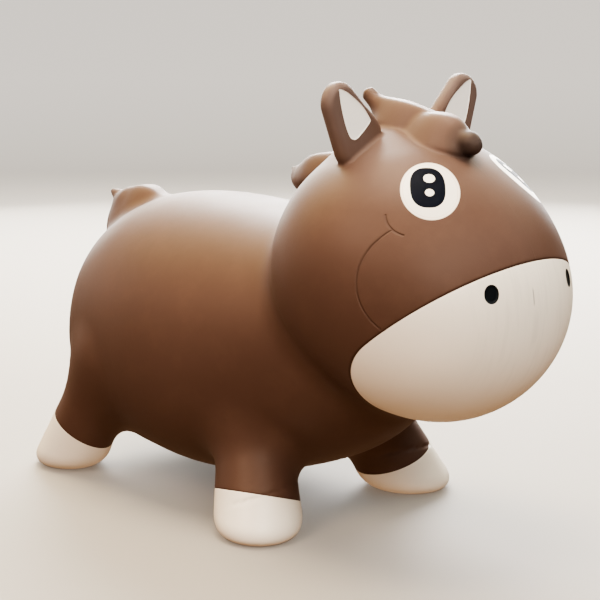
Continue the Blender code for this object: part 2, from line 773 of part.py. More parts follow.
def on_head(p):
    return 0.0007 - head_field(p)


LOCKS = (
    ("forelock", (0.1960, 0, 0.3965), (0.5, 0, 0.87), forelock_field, on_head, 22, 6, 3, 0.55),
    ("poll_lock", (0.1260, 0, 0.4075), (-0.85, 0, 0.53), poll_field,
     lambda p: np.maximum(on_head(p), 0.0008 - forelock_field(p)), 16, 6, 3, 1.0),
    ("nape_lock", (0.0380, 0, 0.3440), (-1.0, 0, 0.08), nape_field, on_head, 18, 6, 3, 1.0),
)
for name, centre, pole, skin, base, sides, rows_skin, rows_base, stretch in LOCKS:
    verts, faces = pebble(centre, pole, skin, base, sides, rows_skin, rows_base, stretch)
    place(name, verts, faces, BROWN, 0.45)


def tail_skin(p):
    return soft_min(tail_ball(p), bar_chain(p, TAIL, 0.010), 0.012)


verts, faces = pebble((-0.2600, 0, 0.2740), (-0.93, 0, 0.37), tail_skin,
                      lambda p: -(torso_field(p) + TAIL_ROOT_DEPTH), 22, 9, 3)
place("tail", verts, faces, BROWN, 0.45, origin=TAIL_ROOT)


# ------------------------------------------------------------ valve and plug
def turned(name, profile, colour, rough, origin, sides=24):
    """A closed ring or plug turned about a vertical axis from (r, z) points."""
    bm = bmesh.new()
    verts = [bm.verts.new((r, 0.0, z)) for r, z in profile]
    edges = [bm.edges.new((verts[i], verts[(i + 1) % len(verts)])) for i in range(len(verts))
             if not (profile[i][0] == 0.0 and profile[(i + 1) % len(verts)][0] == 0.0)]
    bmesh.ops.spin(bm, geom=verts + edges, cent=(0, 0, 0), axis=(0, 0, 1),
                   angle=2.0 * math.pi, steps=sides, use_merge=True, use_duplicate=False)
    bmesh.ops.remove_doubles(bm, verts=bm.verts[:], dist=1e-6)
    bmesh.ops.triangulate(bm, faces=bm.faces[:])
    bm.verts.ensure_lookup_table()
    v = np.array([q.co[:] for q in bm.verts]) + np.asarray(origin)
    f = [tuple(q.index for q in t.verts) for t in bm.faces]
    bm.free()
    return place(name, v, f, colour, rough, origin=origin)


# (radius, height) above the lowest point of the belly
SOCKET = ((0.0115, 0.0003), (0.0115, 0.0044), (0.0165, 0.0044), (0.0165, 0.0060),
          (0.0085, 0.0060), (0.0078, 0.0130), (0.0052, 0.0130), (0.0052, 0.0030),
          (0.0098, 0.0030), (0.0098, 0.0003))
PLUG = ((0.0, 0.0006), (0.0088, 0.0006), (0.0093, 0.0011), (0.0093, 0.0026), (0.0046, 0.0026),
        (0.0046, 0.0118), (0.0040, 0.0128), (0.0, 0.0128))
turned("valve_socket", SOCKET, VALVE_TAN, 0.40, (VALVE_X, 0.0, BELLY_Z))
turned("valve_plug", PLUG, VALVE_TAN, 0.40, (VALVE_X, 0.0, BELLY_Z))
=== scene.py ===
import bpy
import math
import time

import numpy as np
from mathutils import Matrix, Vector


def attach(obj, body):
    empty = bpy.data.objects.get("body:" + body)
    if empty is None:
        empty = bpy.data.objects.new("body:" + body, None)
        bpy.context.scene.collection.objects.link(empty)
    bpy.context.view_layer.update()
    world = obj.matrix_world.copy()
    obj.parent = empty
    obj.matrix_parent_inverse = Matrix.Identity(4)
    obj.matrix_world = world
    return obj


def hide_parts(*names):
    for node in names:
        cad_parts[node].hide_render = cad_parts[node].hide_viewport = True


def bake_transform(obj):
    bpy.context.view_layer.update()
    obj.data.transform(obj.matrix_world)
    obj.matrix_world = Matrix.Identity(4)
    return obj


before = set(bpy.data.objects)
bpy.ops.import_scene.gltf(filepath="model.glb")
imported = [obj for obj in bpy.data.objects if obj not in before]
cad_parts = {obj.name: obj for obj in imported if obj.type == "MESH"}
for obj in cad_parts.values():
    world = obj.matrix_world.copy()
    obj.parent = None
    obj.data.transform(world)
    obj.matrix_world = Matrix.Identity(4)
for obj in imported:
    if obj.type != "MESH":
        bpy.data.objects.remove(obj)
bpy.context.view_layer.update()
START = time.time()

# The toy's skin is one smooth implicit surface. It is meshed once, refined where it
# bends, then split into pieces along the painted edges and round each part that moves.

# ------------------------------------------------------------------ dimensions
TORSO_C = (-0.1296, 0.0, 0.1480)
TORSO_REAR, TORSO_FRONT = 0.1830, 0.2500
TORSO_HALF_WIDTH = 0.1380
TORSO_UP, TORSO_DOWN = 0.1600, 0.1225
TORSO_POWER = 2.134
NECK_A, NECK_B = (-0.0612, 0.0, 0.1640), (0.0620, 0.0, 0.1896)
NECK_RA, NECK_RB, NECK_BLEND = 0.1223, 0.1098, 0.06
CRANIUM_C, CRANIUM_S = (0.1558, 0.0, 0.2671), (0.1268, 0.1406, 0.1268)
SNOUT_C, SNOUT_S = (0.1944, 0.0, 0.2439), (0.1182, 0.1260, 0.1182)
HEAD_BLEND = 0.02
HEAD_FILLET = 0.020
MUZZLE_TOP_X, MUZZLE_TOP_Z, MUZZLE_SLOPE = 0.3027, 0.2911, 0.80
MUZZLE_REAR_X, MUZZLE_CORNER = 0.1740, 0.041
FRONT_LEG = ((0.0023, 0.0668, 0.1293), (0.0635, 0.1135, -0.0147), 0.0333, 0.0473)
REAR_LEG = ((-0.1882, 0.1000, 0.1293), (-0.2703, 0.1049, -0.0147), 0.0300, 0.0411)
LEG_FILLET = 0.0298
SOLE_ROUND = 0.0218
FRONT_CUFF = (-0.0059, 0.3538, 0.1394)
REAR_CUFF = (-0.1271, 0.3338, -0.5950)
ANKLE = (0.0286, -0.0744, 0.3520)
EAR_TOP, EAR_INNER, EAR_OUTER = (0.0843, 0.4245), (0.0534, 0.3948), (0.0699, 0.3843)
EAR_X, EAR_TILT, EAR_ROUND = 0.1450, -0.05, 0.0200
EAR_FRONT, EAR_THICK, EAR_ROLL = 0.0045, 0.0162, 0.0079
EAR_MID_Z = 0.41
EAR_HINGE = (0.1366, 0.0560, 0.3815)
EAR_LONG = (0.0, 0.5400, 0.8417)
# the painted leaf inside the ear, (y, z), from its tip down the inner edge and back up the outer one
LINING = ((0.0900, 0.4382), (0.0795, 0.4342), (0.0625, 0.4222), (0.0528, 0.4105), (0.0522, 0.4065), (0.0586, 0.4005),
          (0.0690, 0.3930), (0.0745, 0.3922), (0.0792, 0.3950), (0.0845, 0.4065), (0.0888, 0.4216), (0.0908, 0.4347))
# locks: (x, z, radius) along each lock's middle line, and the slope of its sides where they run down like a roof
FORELOCK = ((0.1417, 0.3975, 0.0017, 2.26), (0.1518, 0.3966, 0.0089, 2.26), (0.1644, 0.3949, 0.0156, 2.26),
            (0.1805, 0.3932, 0.0208, 2.2), (0.1951, 0.3935, 0.0198, 2.2), (0.2060, 0.3919, 0.0155, 2.3),
            (0.2143, 0.3902, 0.0095, 2.4))
FORELOCK_END = ((0.2160, 0.3914, 0.0084), (0.2233, 0.3891, 0.0110), (0.2279, 0.3872, 0.0087))
POLL_LOCK = ((0.0996, 0.4254, 0.0073, 6.7), (0.1079, 0.4196, 0.0080, 5.6), (0.1183, 0.4151, 0.0098, 3.6),
             (0.1313, 0.4121, 0.0118, 2.4), (0.1453, 0.4102, 0.0122, 2.2), (0.1616, 0.4084, 0.0107, 2.6),
             (0.1765, 0.4051, 0.0097, 4.0), (0.1850, 0.4010, 0.0083, 5.6))
CROWN_C, CROWN_S = (0.1340, 0.0, 0.3500), (0.0520, 0.0560, 0.0470)
NAPE_LOCK = ((0.0575, 0.3471, 0.0207, 2.5), (0.0352, 0.3436, 0.0209, 2.5), (0.0196, 0.3396, 0.0170, 2.5),
             (0.0095, 0.3392, 0.0124, 2.5), (0.0008, 0.3429, 0.0069, 2.5), (-0.0071, 0.3463, 0.0019, 2.5))
TAIL_ROOT = (-0.2480, 0.0, 0.2650)
TAIL = ((-0.2138, 0.2810, 0.0144, 2.0), (-0.2402, 0.2842, 0.0213, 2.0), (-0.2600, 0.2790, 0.0225, 2.0),
        (-0.2740, 0.2690, 0.0225, 1.8), (-0.2810, 0.2570, 0.0220, 1.7), (-0.2830, 0.2440, 0.0200, 1.7))
TAIL_TIP = ((-0.2692, 0.2819, 0.0170), (-0.2857, 0.2852, 0.0105), (-0.2967, 0.2892, 0.0068), (-0.3050, 0.2922, 0.0035))
RUMP = (-0.6058, 0.0, 0.7956)
MARK_AXIS = (0.7041, -0.6800, 0.2045)
EYE_AT, EYE_R = (0.2309, -0.0607, 0.3520), 0.0267
PUPIL_SHIFT, PUPIL_R = (-0.0021, 0.0030), (0.0158, 0.0186)
GLINT_UP_SHIFT, GLINT_UP_R = (-0.0004, 0.0115), (0.0053, 0.0041)
GLINT_LOW_SHIFT, GLINT_LOW_R = (-0.0008, -0.0017), (0.0041, 0.0034)
NOSTRIL_AT, NOSTRIL_R = (0.2998, -0.0563, 0.2684), (0.0067, 0.0085)
VALVE_X, BELLY_Z, VALVE_R = -0.1296, 0.0255, 0.0119
# engraved lines on each cheek: circle centre (x, z), radius, first and last angle
CHEEK = ((0.2634, 0.2807, 0.0557, 133.0, 233.0), (0.2425, 0.3472, 0.0311, 207.0, 256.0))


# ------------------------------------------------------------- shape functions
def soft_min(a, b, k):
    h = np.clip(0.5 + 0.5 * (b - a) / k, 0.0, 1.0)
    return b + (a - b) * h - k * h * (1.0 - h)


def soft_max(a, b, k):
    return -soft_min(-a, -b, k)


def ramp(x, a, b):
    t = np.clip((x - a) / (b - a), 0.0, 1.0)
    return t * t * (3.0 - 2.0 * t)


def ovoid(p, c, s):
    q = p - np.asarray(c)
    s = np.asarray(s)
    k0 = np.linalg.norm(q / s, axis=-1)
    k1 = np.linalg.norm(q / (s * s), axis=-1)
    return k0 * (k0 - 1.0) / np.maximum(k1, 1e-9)


def taper_bar(p, a, b, ra, rb, even=0.0):
    a = np.asarray(a, float)
    b = np.asarray(b, float)
    length = np.linalg.norm(b - a)
    u = (b - a) / length
    q = p - a
    t = q @ u
    w = np.sqrt(np.maximum((q * q).sum(-1) - t * t, 0.0))
    s = (ra - rb) / length
    c = math.sqrt(max(1.0 - s * s, 1e-9))
    h = (t + w * s / c) / length
    h = soft_max(soft_min(h, 1.0, even), 0.0, even) if even else np.clip(h, 0.0, 1.0)
    return np.hypot(w, t - h * length) - (ra + h * (rb - ra))


def lock_line(knots, parts=8):
    """Closely spaced knots along the smooth line through a lock's knots, with its direction, and its bounding ball."""
    knots = np.asarray(knots, float)
    ext = np.vstack([2 * knots[0] - knots[1], knots, 2 * knots[-1] - knots[-2]])
    line = []
    for i in range(1, len(ext) - 2):
        a, b, c, d = ext[i - 1:i + 3]
        for t in np.arange(parts) / parts:
            line.append(0.5 * (2 * b + (c - a) * t + (2 * a - 5 * b + 4 * c - d) * t * t
                               + (3 * b - a - 3 * c + d) * t ** 3))
    line = np.array(line + [ext[-2]])
    run = np.gradient(line[:, :2], axis=0)
    run /= np.linalg.norm(run, axis=1, keepdims=True)
    mid = np.array([line[:, 0].mean(), 0.0, line[:, 1].mean()])
    return np.hstack([run, line]), mid, (np.hypot(line[:, 0] - mid[0], line[:, 1] - mid[2]) + line[:, 2]).max()


def lock(p, swept, skirt=0.4, ball_end=None):
    """A tapered lock of hair on a smooth line in the middle plane: swept balls, or for knots with a slope a rounded
    roof whose sides run down to the head, with balls only towards one end."""
    line, mid, reach = swept
    r = p - mid
    out = np.sqrt((r * r).sum(-1)) - reach
    near = out < 0.016
    if not near.any():
        return out
    q = p[near]
    d = np.sqrt((q[:, None, 0] - line[None, :, 2]) ** 2 + (q[:, None, 1]) ** 2
                + (q[:, None, 2] - line[None, :, 3]) ** 2) - line[None, :, 4]
    i = np.clip(d.argmin(1), 1, len(line) - 2)
    row = np.arange(len(q))
    lo, at_, hi = d[row, i - 1], d[row, i], d[row, i + 1]
    bend = np.maximum(lo - 2 * at_ + hi, 1e-9)
    shift = np.clip(0.5 * (lo - hi) / bend, -1.0, 1.0)
    ball = at_ + 0.5 * (hi - lo) * shift + 0.5 * bend * shift * shift
    if line.shape[1] == 5:
        out[near] = ball
        return out
    half, curve = 0.5 * shift[:, None], 0.5 * (shift * shift)[:, None]
    here = line[i] + (line[i + 1] - line[i - 1]) * half + (line[i + 1] - 2 * line[i] + line[i - 1]) * curve
    dx, dz, rad, slant = q[:, 0] - here[:, 2], q[:, 2] - here[:, 3], here[:, 4], here[:, 5]
    length = np.hypot(here[:, 0], here[:, 1])
    tx, tz = here[:, 0] / length, here[:, 1] / length
    high = (dz * tx - dx * tz) * np.where(tx > 0, 1.0, -1.0)
    part = (i + shift) / (len(line) - 1.0)
    away = np.sqrt(q[:, 1] ** 2 + (dx * tx + dz * tz) ** 2) / rad
    away = np.maximum(away - 0.3, 0.0)
    bow = np.sqrt(away * away + 0.36)
    roof = (high - rad * (1.0 - slant * (bow - 0.6))) / np.sqrt(1.0 + (slant * away / bow) ** 2)
    roof = soft_max(roof, ball - skirt * rad, 0.004)
    if ball_end is not None:
        roof = ball + (roof - ball) * ramp(np.abs(part - ball_end), 0.08, 0.42)
    out[near] = roof
    return out


FORELOCK_SWEPT, FORELOCK_END_SWEPT = lock_line(FORELOCK), lock_line(FORELOCK_END)
POLL_SWEPT = lock_line(POLL_LOCK)
NAPE_SWEPT = lock_line(NAPE_LOCK)
TAIL_SWEPT, TAIL_TIP_SWEPT = lock_line(TAIL), lock_line(TAIL_TIP)


def torso_field(p):
    x, z = p[..., 0] - TORSO_C[0], p[..., 2] - TORSO_C[2]
    s = np.stack([TORSO_REAR + (TORSO_FRONT - TORSO_REAR) * ramp(x, -0.09, 0.09),
                  np.full(p.shape[:-1], TORSO_HALF_WIDTH),
                  TORSO_DOWN + (TORSO_UP - TORSO_DOWN) * ramp(z, -0.07, 0.07)], -1)
    u = np.abs(p - np.array(TORSO_C)) / s
    # the small constant keeps the curve even where each axis crosses the middle
    v = ((u * u + 0.01) ** (TORSO_POWER / 2) - 0.00734) / 1.0033
    g = np.maximum(v.sum(-1), 1e-12) ** (1.0 / TORSO_POWER)
    slope = (u ** (TORSO_POWER - 1.0)) / s * g[..., None] ** (1.0 - TORSO_POWER)
    barrel = (g - 1.0) / np.maximum(np.linalg.norm(slope, axis=-1), 1e-9)
    return soft_min(barrel, taper_bar(p, NECK_A, NECK_B, NECK_RA, NECK_RB, 0.5), NECK_BLEND)


def head_field(p):
    d = soft_min(ovoid(p, CRANIUM_C, CRANIUM_S), ovoid(p, SNOUT_C, SNOUT_S), HEAD_BLEND)
    return soft_min(d, ovoid(p, CROWN_C, CROWN_S), 0.024)


def muzzle_cut(p):
    top = (p[..., 2] - MUZZLE_TOP_Z - MUZZLE_SLOPE * (p[..., 0] - MUZZLE_TOP_X)) \
        / math.hypot(1.0, MUZZLE_SLOPE)
    return soft_max(top, MUZZLE_REAR_X - p[..., 0], MUZZLE_CORNER)


def fold(p):
    q = np.array(p)
    q[..., 1] = np.abs(q[..., 1])
    return q


def cuff_cut(p, cuff):
    return (p[..., 2] - cuff[0] - cuff[1] * np.abs(p[..., 1]) - cuff[2] * p[..., 0]) \
        / math.sqrt(1.0 + cuff[1] ** 2 + cuff[2] ** 2)


def corner_distance(u, w, a, b, c):
    def side(p0, p1):
        dx, dw = p1[0] - p0[0], p1[1] - p0[1]
        h = np.clip(((u - p0[0]) * dx + (w - p0[1]) * dw) / (dx * dx + dw * dw), 0.0, 1.0)
        return np.hypot(u - p0[0] - h * dx, w - p0[1] - h * dw)

    def turn(p0, p1):
        return (p1[0] - p0[0]) * (w - p0[1]) - (p1[1] - p0[1]) * (u - p0[0])
    d = np.minimum(np.minimum(side(a, b), side(b, c)), side(c, a))
    t1, t2, t3 = turn(a, b), turn(b, c), turn(c, a)
    inside = ((t1 >= 0) & (t2 >= 0) & (t3 >= 0)) | ((t1 <= 0) & (t2 <= 0) & (t3 <= 0))
    return np.where(inside, -d, d)


def ear_shift(q):
    return q[..., 0] - EAR_X - EAR_TILT * (q[..., 2] - EAR_MID_Z)


def ear_field(q):
    """Ear on the side that q is folded to."""
    x = ear_shift(q)
    d = corner_distance(q[..., 1], q[..., 2], EAR_TOP, EAR_INNER, EAR_OUTER) - EAR_ROUND + EAR_ROLL
    t = np.abs(x - EAR_FRONT + EAR_THICK / 2) - EAR_THICK / 2 + EAR_ROLL
    return soft_max(soft_max(d, t, 0.004), np.hypot(np.maximum(d, 0), np.maximum(t, 0)), 0.001) - EAR_ROLL


def smooth_loop(knots, parts=6):
    """Points along a smooth closed line through the knots."""
    k = np.asarray(knots, float)
    a, b, c, d = (np.roll(k, s, axis=0) for s in (1, 0, -1, -2))
    t = (np.arange(parts) / parts)[None, :, None]
    a, b, c, d = (v[:, None, :] for v in (a, b, c, d))
    out = 0.5 * (2 * b + (c - a) * t + (2 * a - 5 * b + 4 * c - d) * t * t + (3 * b - a - 3 * c + d) * t ** 3)
    return out.reshape(-1, k.shape[1])


LINING_LOOP = smooth_loop(LINING)


def loop_distance(u, w, loop):
    """Signed distance to a closed line, below zero inside."""
    best = np.full(u.shape, 1e9)
    inside = np.zeros(u.shape, bool)
    for (x0, y0), (x1, y1) in zip(loop, np.roll(loop, -1, axis=0)):
        dx, dy = x1 - x0, y1 - y0
        h = np.clip(((u - x0) * dx + (w - y0) * dy) / (dx * dx + dy * dy), 0.0, 1.0)
        best = np.minimum(best, (u - x0 - h * dx) ** 2 + (w - y0 - h * dy) ** 2)
        if dy:
            inside ^= ((y0 > w) != (y1 > w)) & (u < x0 + dx * (w - y0) / dy)
    return np.where(inside, -1.0, 1.0) * np.sqrt(best)


def lining_cut(q):
    """Below zero inside the outline of the ear's painted lining, on the ear's front."""
    out = np.full(q.shape[:-1], 0.02)
    near = (q[..., 2] > 0.383) & (np.abs(q[..., 1] - 0.072) < 0.035) & (ear_shift(q) > -0.004)
    out[near] = np.maximum(loop_distance(q[near][:, 1], q[near][:, 2], LINING_LOOP), -0.5 * (ear_shift(q[near]) - 0.0005))
    return out


def tail_field(p):
    return soft_min(lock(p, TAIL_SWEPT, 1.2), lock(p, TAIL_TIP_SWEPT), 0.010)


def unit(v):
    v = np.asarray(v, float)
    return v / np.linalg.norm(v)


MARK_N = unit(MARK_AXIS)
MARK_U = unit(np.cross((0.0, 0.0, 1.0), MARK_N))
MARK_V = np.cross(MARK_N, MARK_U)


def right_side(p):
    q = np.array(p)
    q[..., 1] = -np.abs(q[..., 1])
    return q


def mark_cut(q, at, shift, radii, power):
    """Below zero inside a printed spot; q is folded to the right side."""
    r = q - np.asarray(at)
    u = (r @ MARK_U - shift[0]) / radii[0]
    v = (r @ MARK_V - shift[1]) / radii[1]
    g = (np.abs(u) ** power + np.abs(v) ** power) ** (1.0 / power)
    near = np.sqrt((r * r).sum(-1)) - 0.045
    return np.maximum((g - 1.0) * min(radii), near)


def eye_cut(q):
    return mark_cut(q, EYE_AT, (0.0, 0.0), (EYE_R, EYE_R), 2.0)


def pupil_cut(q):
    return mark_cut(q, EYE_AT, PUPIL_SHIFT, PUPIL_R, 2.5)


def glint_cut(q):
    return np.minimum(mark_cut(q, EYE_AT, GLINT_UP_SHIFT, GLINT_UP_R, 2.0),
                      mark_cut(q, EYE_AT, GLINT_LOW_SHIFT, GLINT_LOW_R, 2.0))


def nostril_cut(q):
    return mark_cut(q, NOSTRIL_AT, (0.0, 0.0), NOSTRIL_R, 2.1)


def cheek_line(p):
    """Distance to the engraved lines on the side of the head, and how deep they are."""
    best = np.full(p.shape[:-1], 1.0)
    for cx, cz, r, a0, a1 in CHEEK:
        dx, dz = p[..., 0] - cx, p[..., 2] - cz
        mid, half = math.radians((a0 + a1) / 2), math.radians((a1 - a0) / 2)
        ang = np.arctan2(dz, dx) - mid
        ang = (ang + math.pi) % (2 * math.pi) - math.pi
        over = np.maximum(np.abs(ang) - half, 0.0) * r
        best = np.minimum(best, np.hypot(np.hypot(dx, dz) - r, over * 1.6))
    return np.where(np.abs(p[..., 1]) > 0.05, best, 1.0)


def plain_skin(p):
    q = fold(p)
    d = torso_field(p)
    d = soft_min(d, taper_bar(q, *FRONT_LEG, 0.15), LEG_FILLET)
    d = soft_min(d, taper_bar(q, *REAR_LEG, 0.15), LEG_FILLET)
    d = soft_min(d, head_field(p), HEAD_FILLET)
    d = soft_min(d, ear_field(q), 0.0045)
    d = soft_min(d, lock(p, POLL_SWEPT, 0.9, 0.0), 0.004)
    d = soft_min(d, soft_min(lock(p, FORELOCK_SWEPT, 0.5), lock(p, FORELOCK_END_SWEPT), 0.004), 0.003)
    d = soft_min(d, lock(p, NAPE_SWEPT, 0.12), 0.006)
    d = soft_min(d, tail_field(p), 0.012)
    return soft_max(d, -p[..., 2], SOLE_ROUND)


def groove(g, width):
    return np.exp(-(g / width) ** 2)


def skin(p):
    """The skin with its fine relief: grooves push it in, above zero is outside."""
    d = plain_skin(p)
    x, z = p[..., 0], p[..., 2]
    onhead = x > 0.16
    m = muzzle_cut(p)
    d = d + np.where(onhead, 0.00055 * groove(m - 0.0006, 0.0008), 0.0)
    d = d + 0.00060 * groove(cheek_line(p), 0.0008) * ramp(m, 0.0, 0.004)
    q = fold(p)
    lin = lining_cut(q)
    d = d + np.where(z > 0.385, 0.0007 * ramp(-lin, -0.0004, 0.0008), 0.0)
    r = right_side(p)
    d = d + 0.0010 * ramp(-nostril_cut(r), -0.0002, 0.0022)
    low = z < 0.09
    cuff = np.where(x > -0.1, cuff_cut(p, FRONT_CUFF), cuff_cut(p, REAR_CUFF))
    d = d + np.where(low, 0.00035 * groove(cuff - 0.0004, 0.0007), 0.0)
    # the soft crease over the front of each fore hoof
    d = d + np.where(low & (x > 0.03), 0.0008 * groove(cuff_cut(p, ANKLE), 0.0022) * ramp(x, 0.045, 0.068), 0.0)
    return d


def slope_of(p, field, here=None, h=1.2e-4):
    out = np.empty_like(p)
    for i in range(3):
        step = np.zeros(3)
        step[i] = h
        if here is None:
            out[:, i] = (field(p + step) - field(p - step)) / (2 * h)
        else:
            out[:, i] = (field(p + step) - here) / h
    return out


def settle(p, field, rounds=3, most=0.004):
    """Moves points onto the field's surface along its slope."""
    for _ in range(rounds):
        v = field(p)
        g = slope_of(p, field, v)
        step = v[:, None] * g / np.maximum((g * g).sum(1, keepdims=True), 1e-6)
        n = np.linalg.norm(step, axis=1, keepdims=True)
        p = p - step * np.minimum(1.0, most / np.maximum(n, 1e-12))
    return p


# -------------------------------------------------------------- meshing tools
def net_surface(field, low, high, h):
    """Surface net of a field that is mirror-symmetric in y. Returns points, triangles."""
    nx = int(math.ceil((high[0] - low[0]) / h)) + 1
    nz = int(math.ceil((high[2] - low[2]) / h)) + 1
    ny = int(math.ceil(high[1] / h)) + 1
    xs = low[0] + h * np.arange(nx)
    ys = h * (np.arange(ny) + 0.5)
    zs = low[2] + h * np.arange(nz)
    grid = np.empty((nx, ny, nz))
    for i in range(0, nx, 16):
        X, Y, Z = np.meshgrid(xs[i:i + 16], ys, zs, indexing="ij")
        grid[i:i + 16] = field(np.stack([X, Y, Z], -1))
    grid = np.concatenate([grid[:, ::-1], grid], axis=1)
    ys = np.concatenate([-ys[::-1], ys])
    ins = grid < 0
    mixed = None
    total = np.zeros(tuple(n - 1 for n in grid.shape), int)
    for dx in (0, 1):
        for dy in (0, 1):
            for dz in (0, 1):
                total += ins[dx:grid.shape[0] - 1 + dx, dy:grid.shape[1] - 1 + dy,
                             dz:grid.shape[2] - 1 + dz]
    mixed = (total > 0) & (total < 8)
    index = np.full(mixed.shape, -1)
    cells = np.argwhere(mixed)
    index[mixed] = np.arange(len(cells))
    pts = np.stack([xs[cells[:, 0]], ys[cells[:, 1]], zs[cells[:, 2]]], -1) + h / 2
    quads = []
    for axis in range(3):
        b, c = (axis + 1) % 3, (axis + 2) % 3
        lo = [slice(None)] * 3
        hi = [slice(None)] * 3
        lo[axis] = slice(0, -1)
        hi[axis] = slice(1, None)
        a0, a1 = ins[tuple(lo)], ins[tuple(hi)]
        change = np.argwhere(a0 != a1)
        keep = np.ones(len(change), bool)
        for ax in (b, c):
            keep &= (change[:, ax] > 0) & (change[:, ax] < mixed.shape[ax])
        change = change[keep]
        inside = a0[tuple(change.T)]
        corner = []
        for db, dc in ((-1, -1), (0, -1), (0, 0), (-1, 0)):
            cell = change.copy()
            cell[:, b] += db
            cell[:, c] += dc
            corner.append(index[tuple(cell.T)])
        q = np.stack(corner, 1)
        q[~inside] = q[~inside][:, ::-1]
        quads.append(q)
    q = np.concatenate(quads)
    return pts, q


def quads_to_tris(p, q):
    d1 = np.linalg.norm(p[q[:, 0]] - p[q[:, 2]], axis=1)
    d2 = np.linalg.norm(p[q[:, 1]] - p[q[:, 3]], axis=1)
    first = d1 <= d2
    a, b = q[first], q[~first]
    return np.concatenate([a[:, [0, 1, 2]], a[:, [0, 2, 3]], b[:, [0, 1, 3]], b[:, [1, 2, 3]]])


def edges_of(t, n):
    e = np.sort(np.concatenate([t[:, [0, 1]], t[:, [1, 2]], t[:, [2, 0]]]), axis=1)
    key, inv = np.unique(e[:, 0].astype(np.int64) * n + e[:, 1], return_inverse=True)
    return np.stack([key // n, key % n], 1), inv.reshape(3, -1).T


def relax(p, t, field, rounds):
    e, _ = edges_of(t, len(p))
    for _ in range(rounds):
        acc = np.zeros_like(p)
        cnt = np.zeros(len(p))
        np.add.at(acc, e[:, 0], p[e[:, 1]])
        np.add.at(acc, e[:, 1], p[e[:, 0]])
        np.add.at(cnt, e[:, 0], 1)
        np.add.at(cnt, e[:, 1], 1)
        step = acc / cnt[:, None] - p
        g = slope_of(p, field, field(p))
        n = g / np.maximum(np.linalg.norm(g, axis=1, keepdims=True), 1e-9)
        step -= n * (step * n).sum(1, keepdims=True)
        p = settle(p + 0.6 * step, field, 1)
    return p


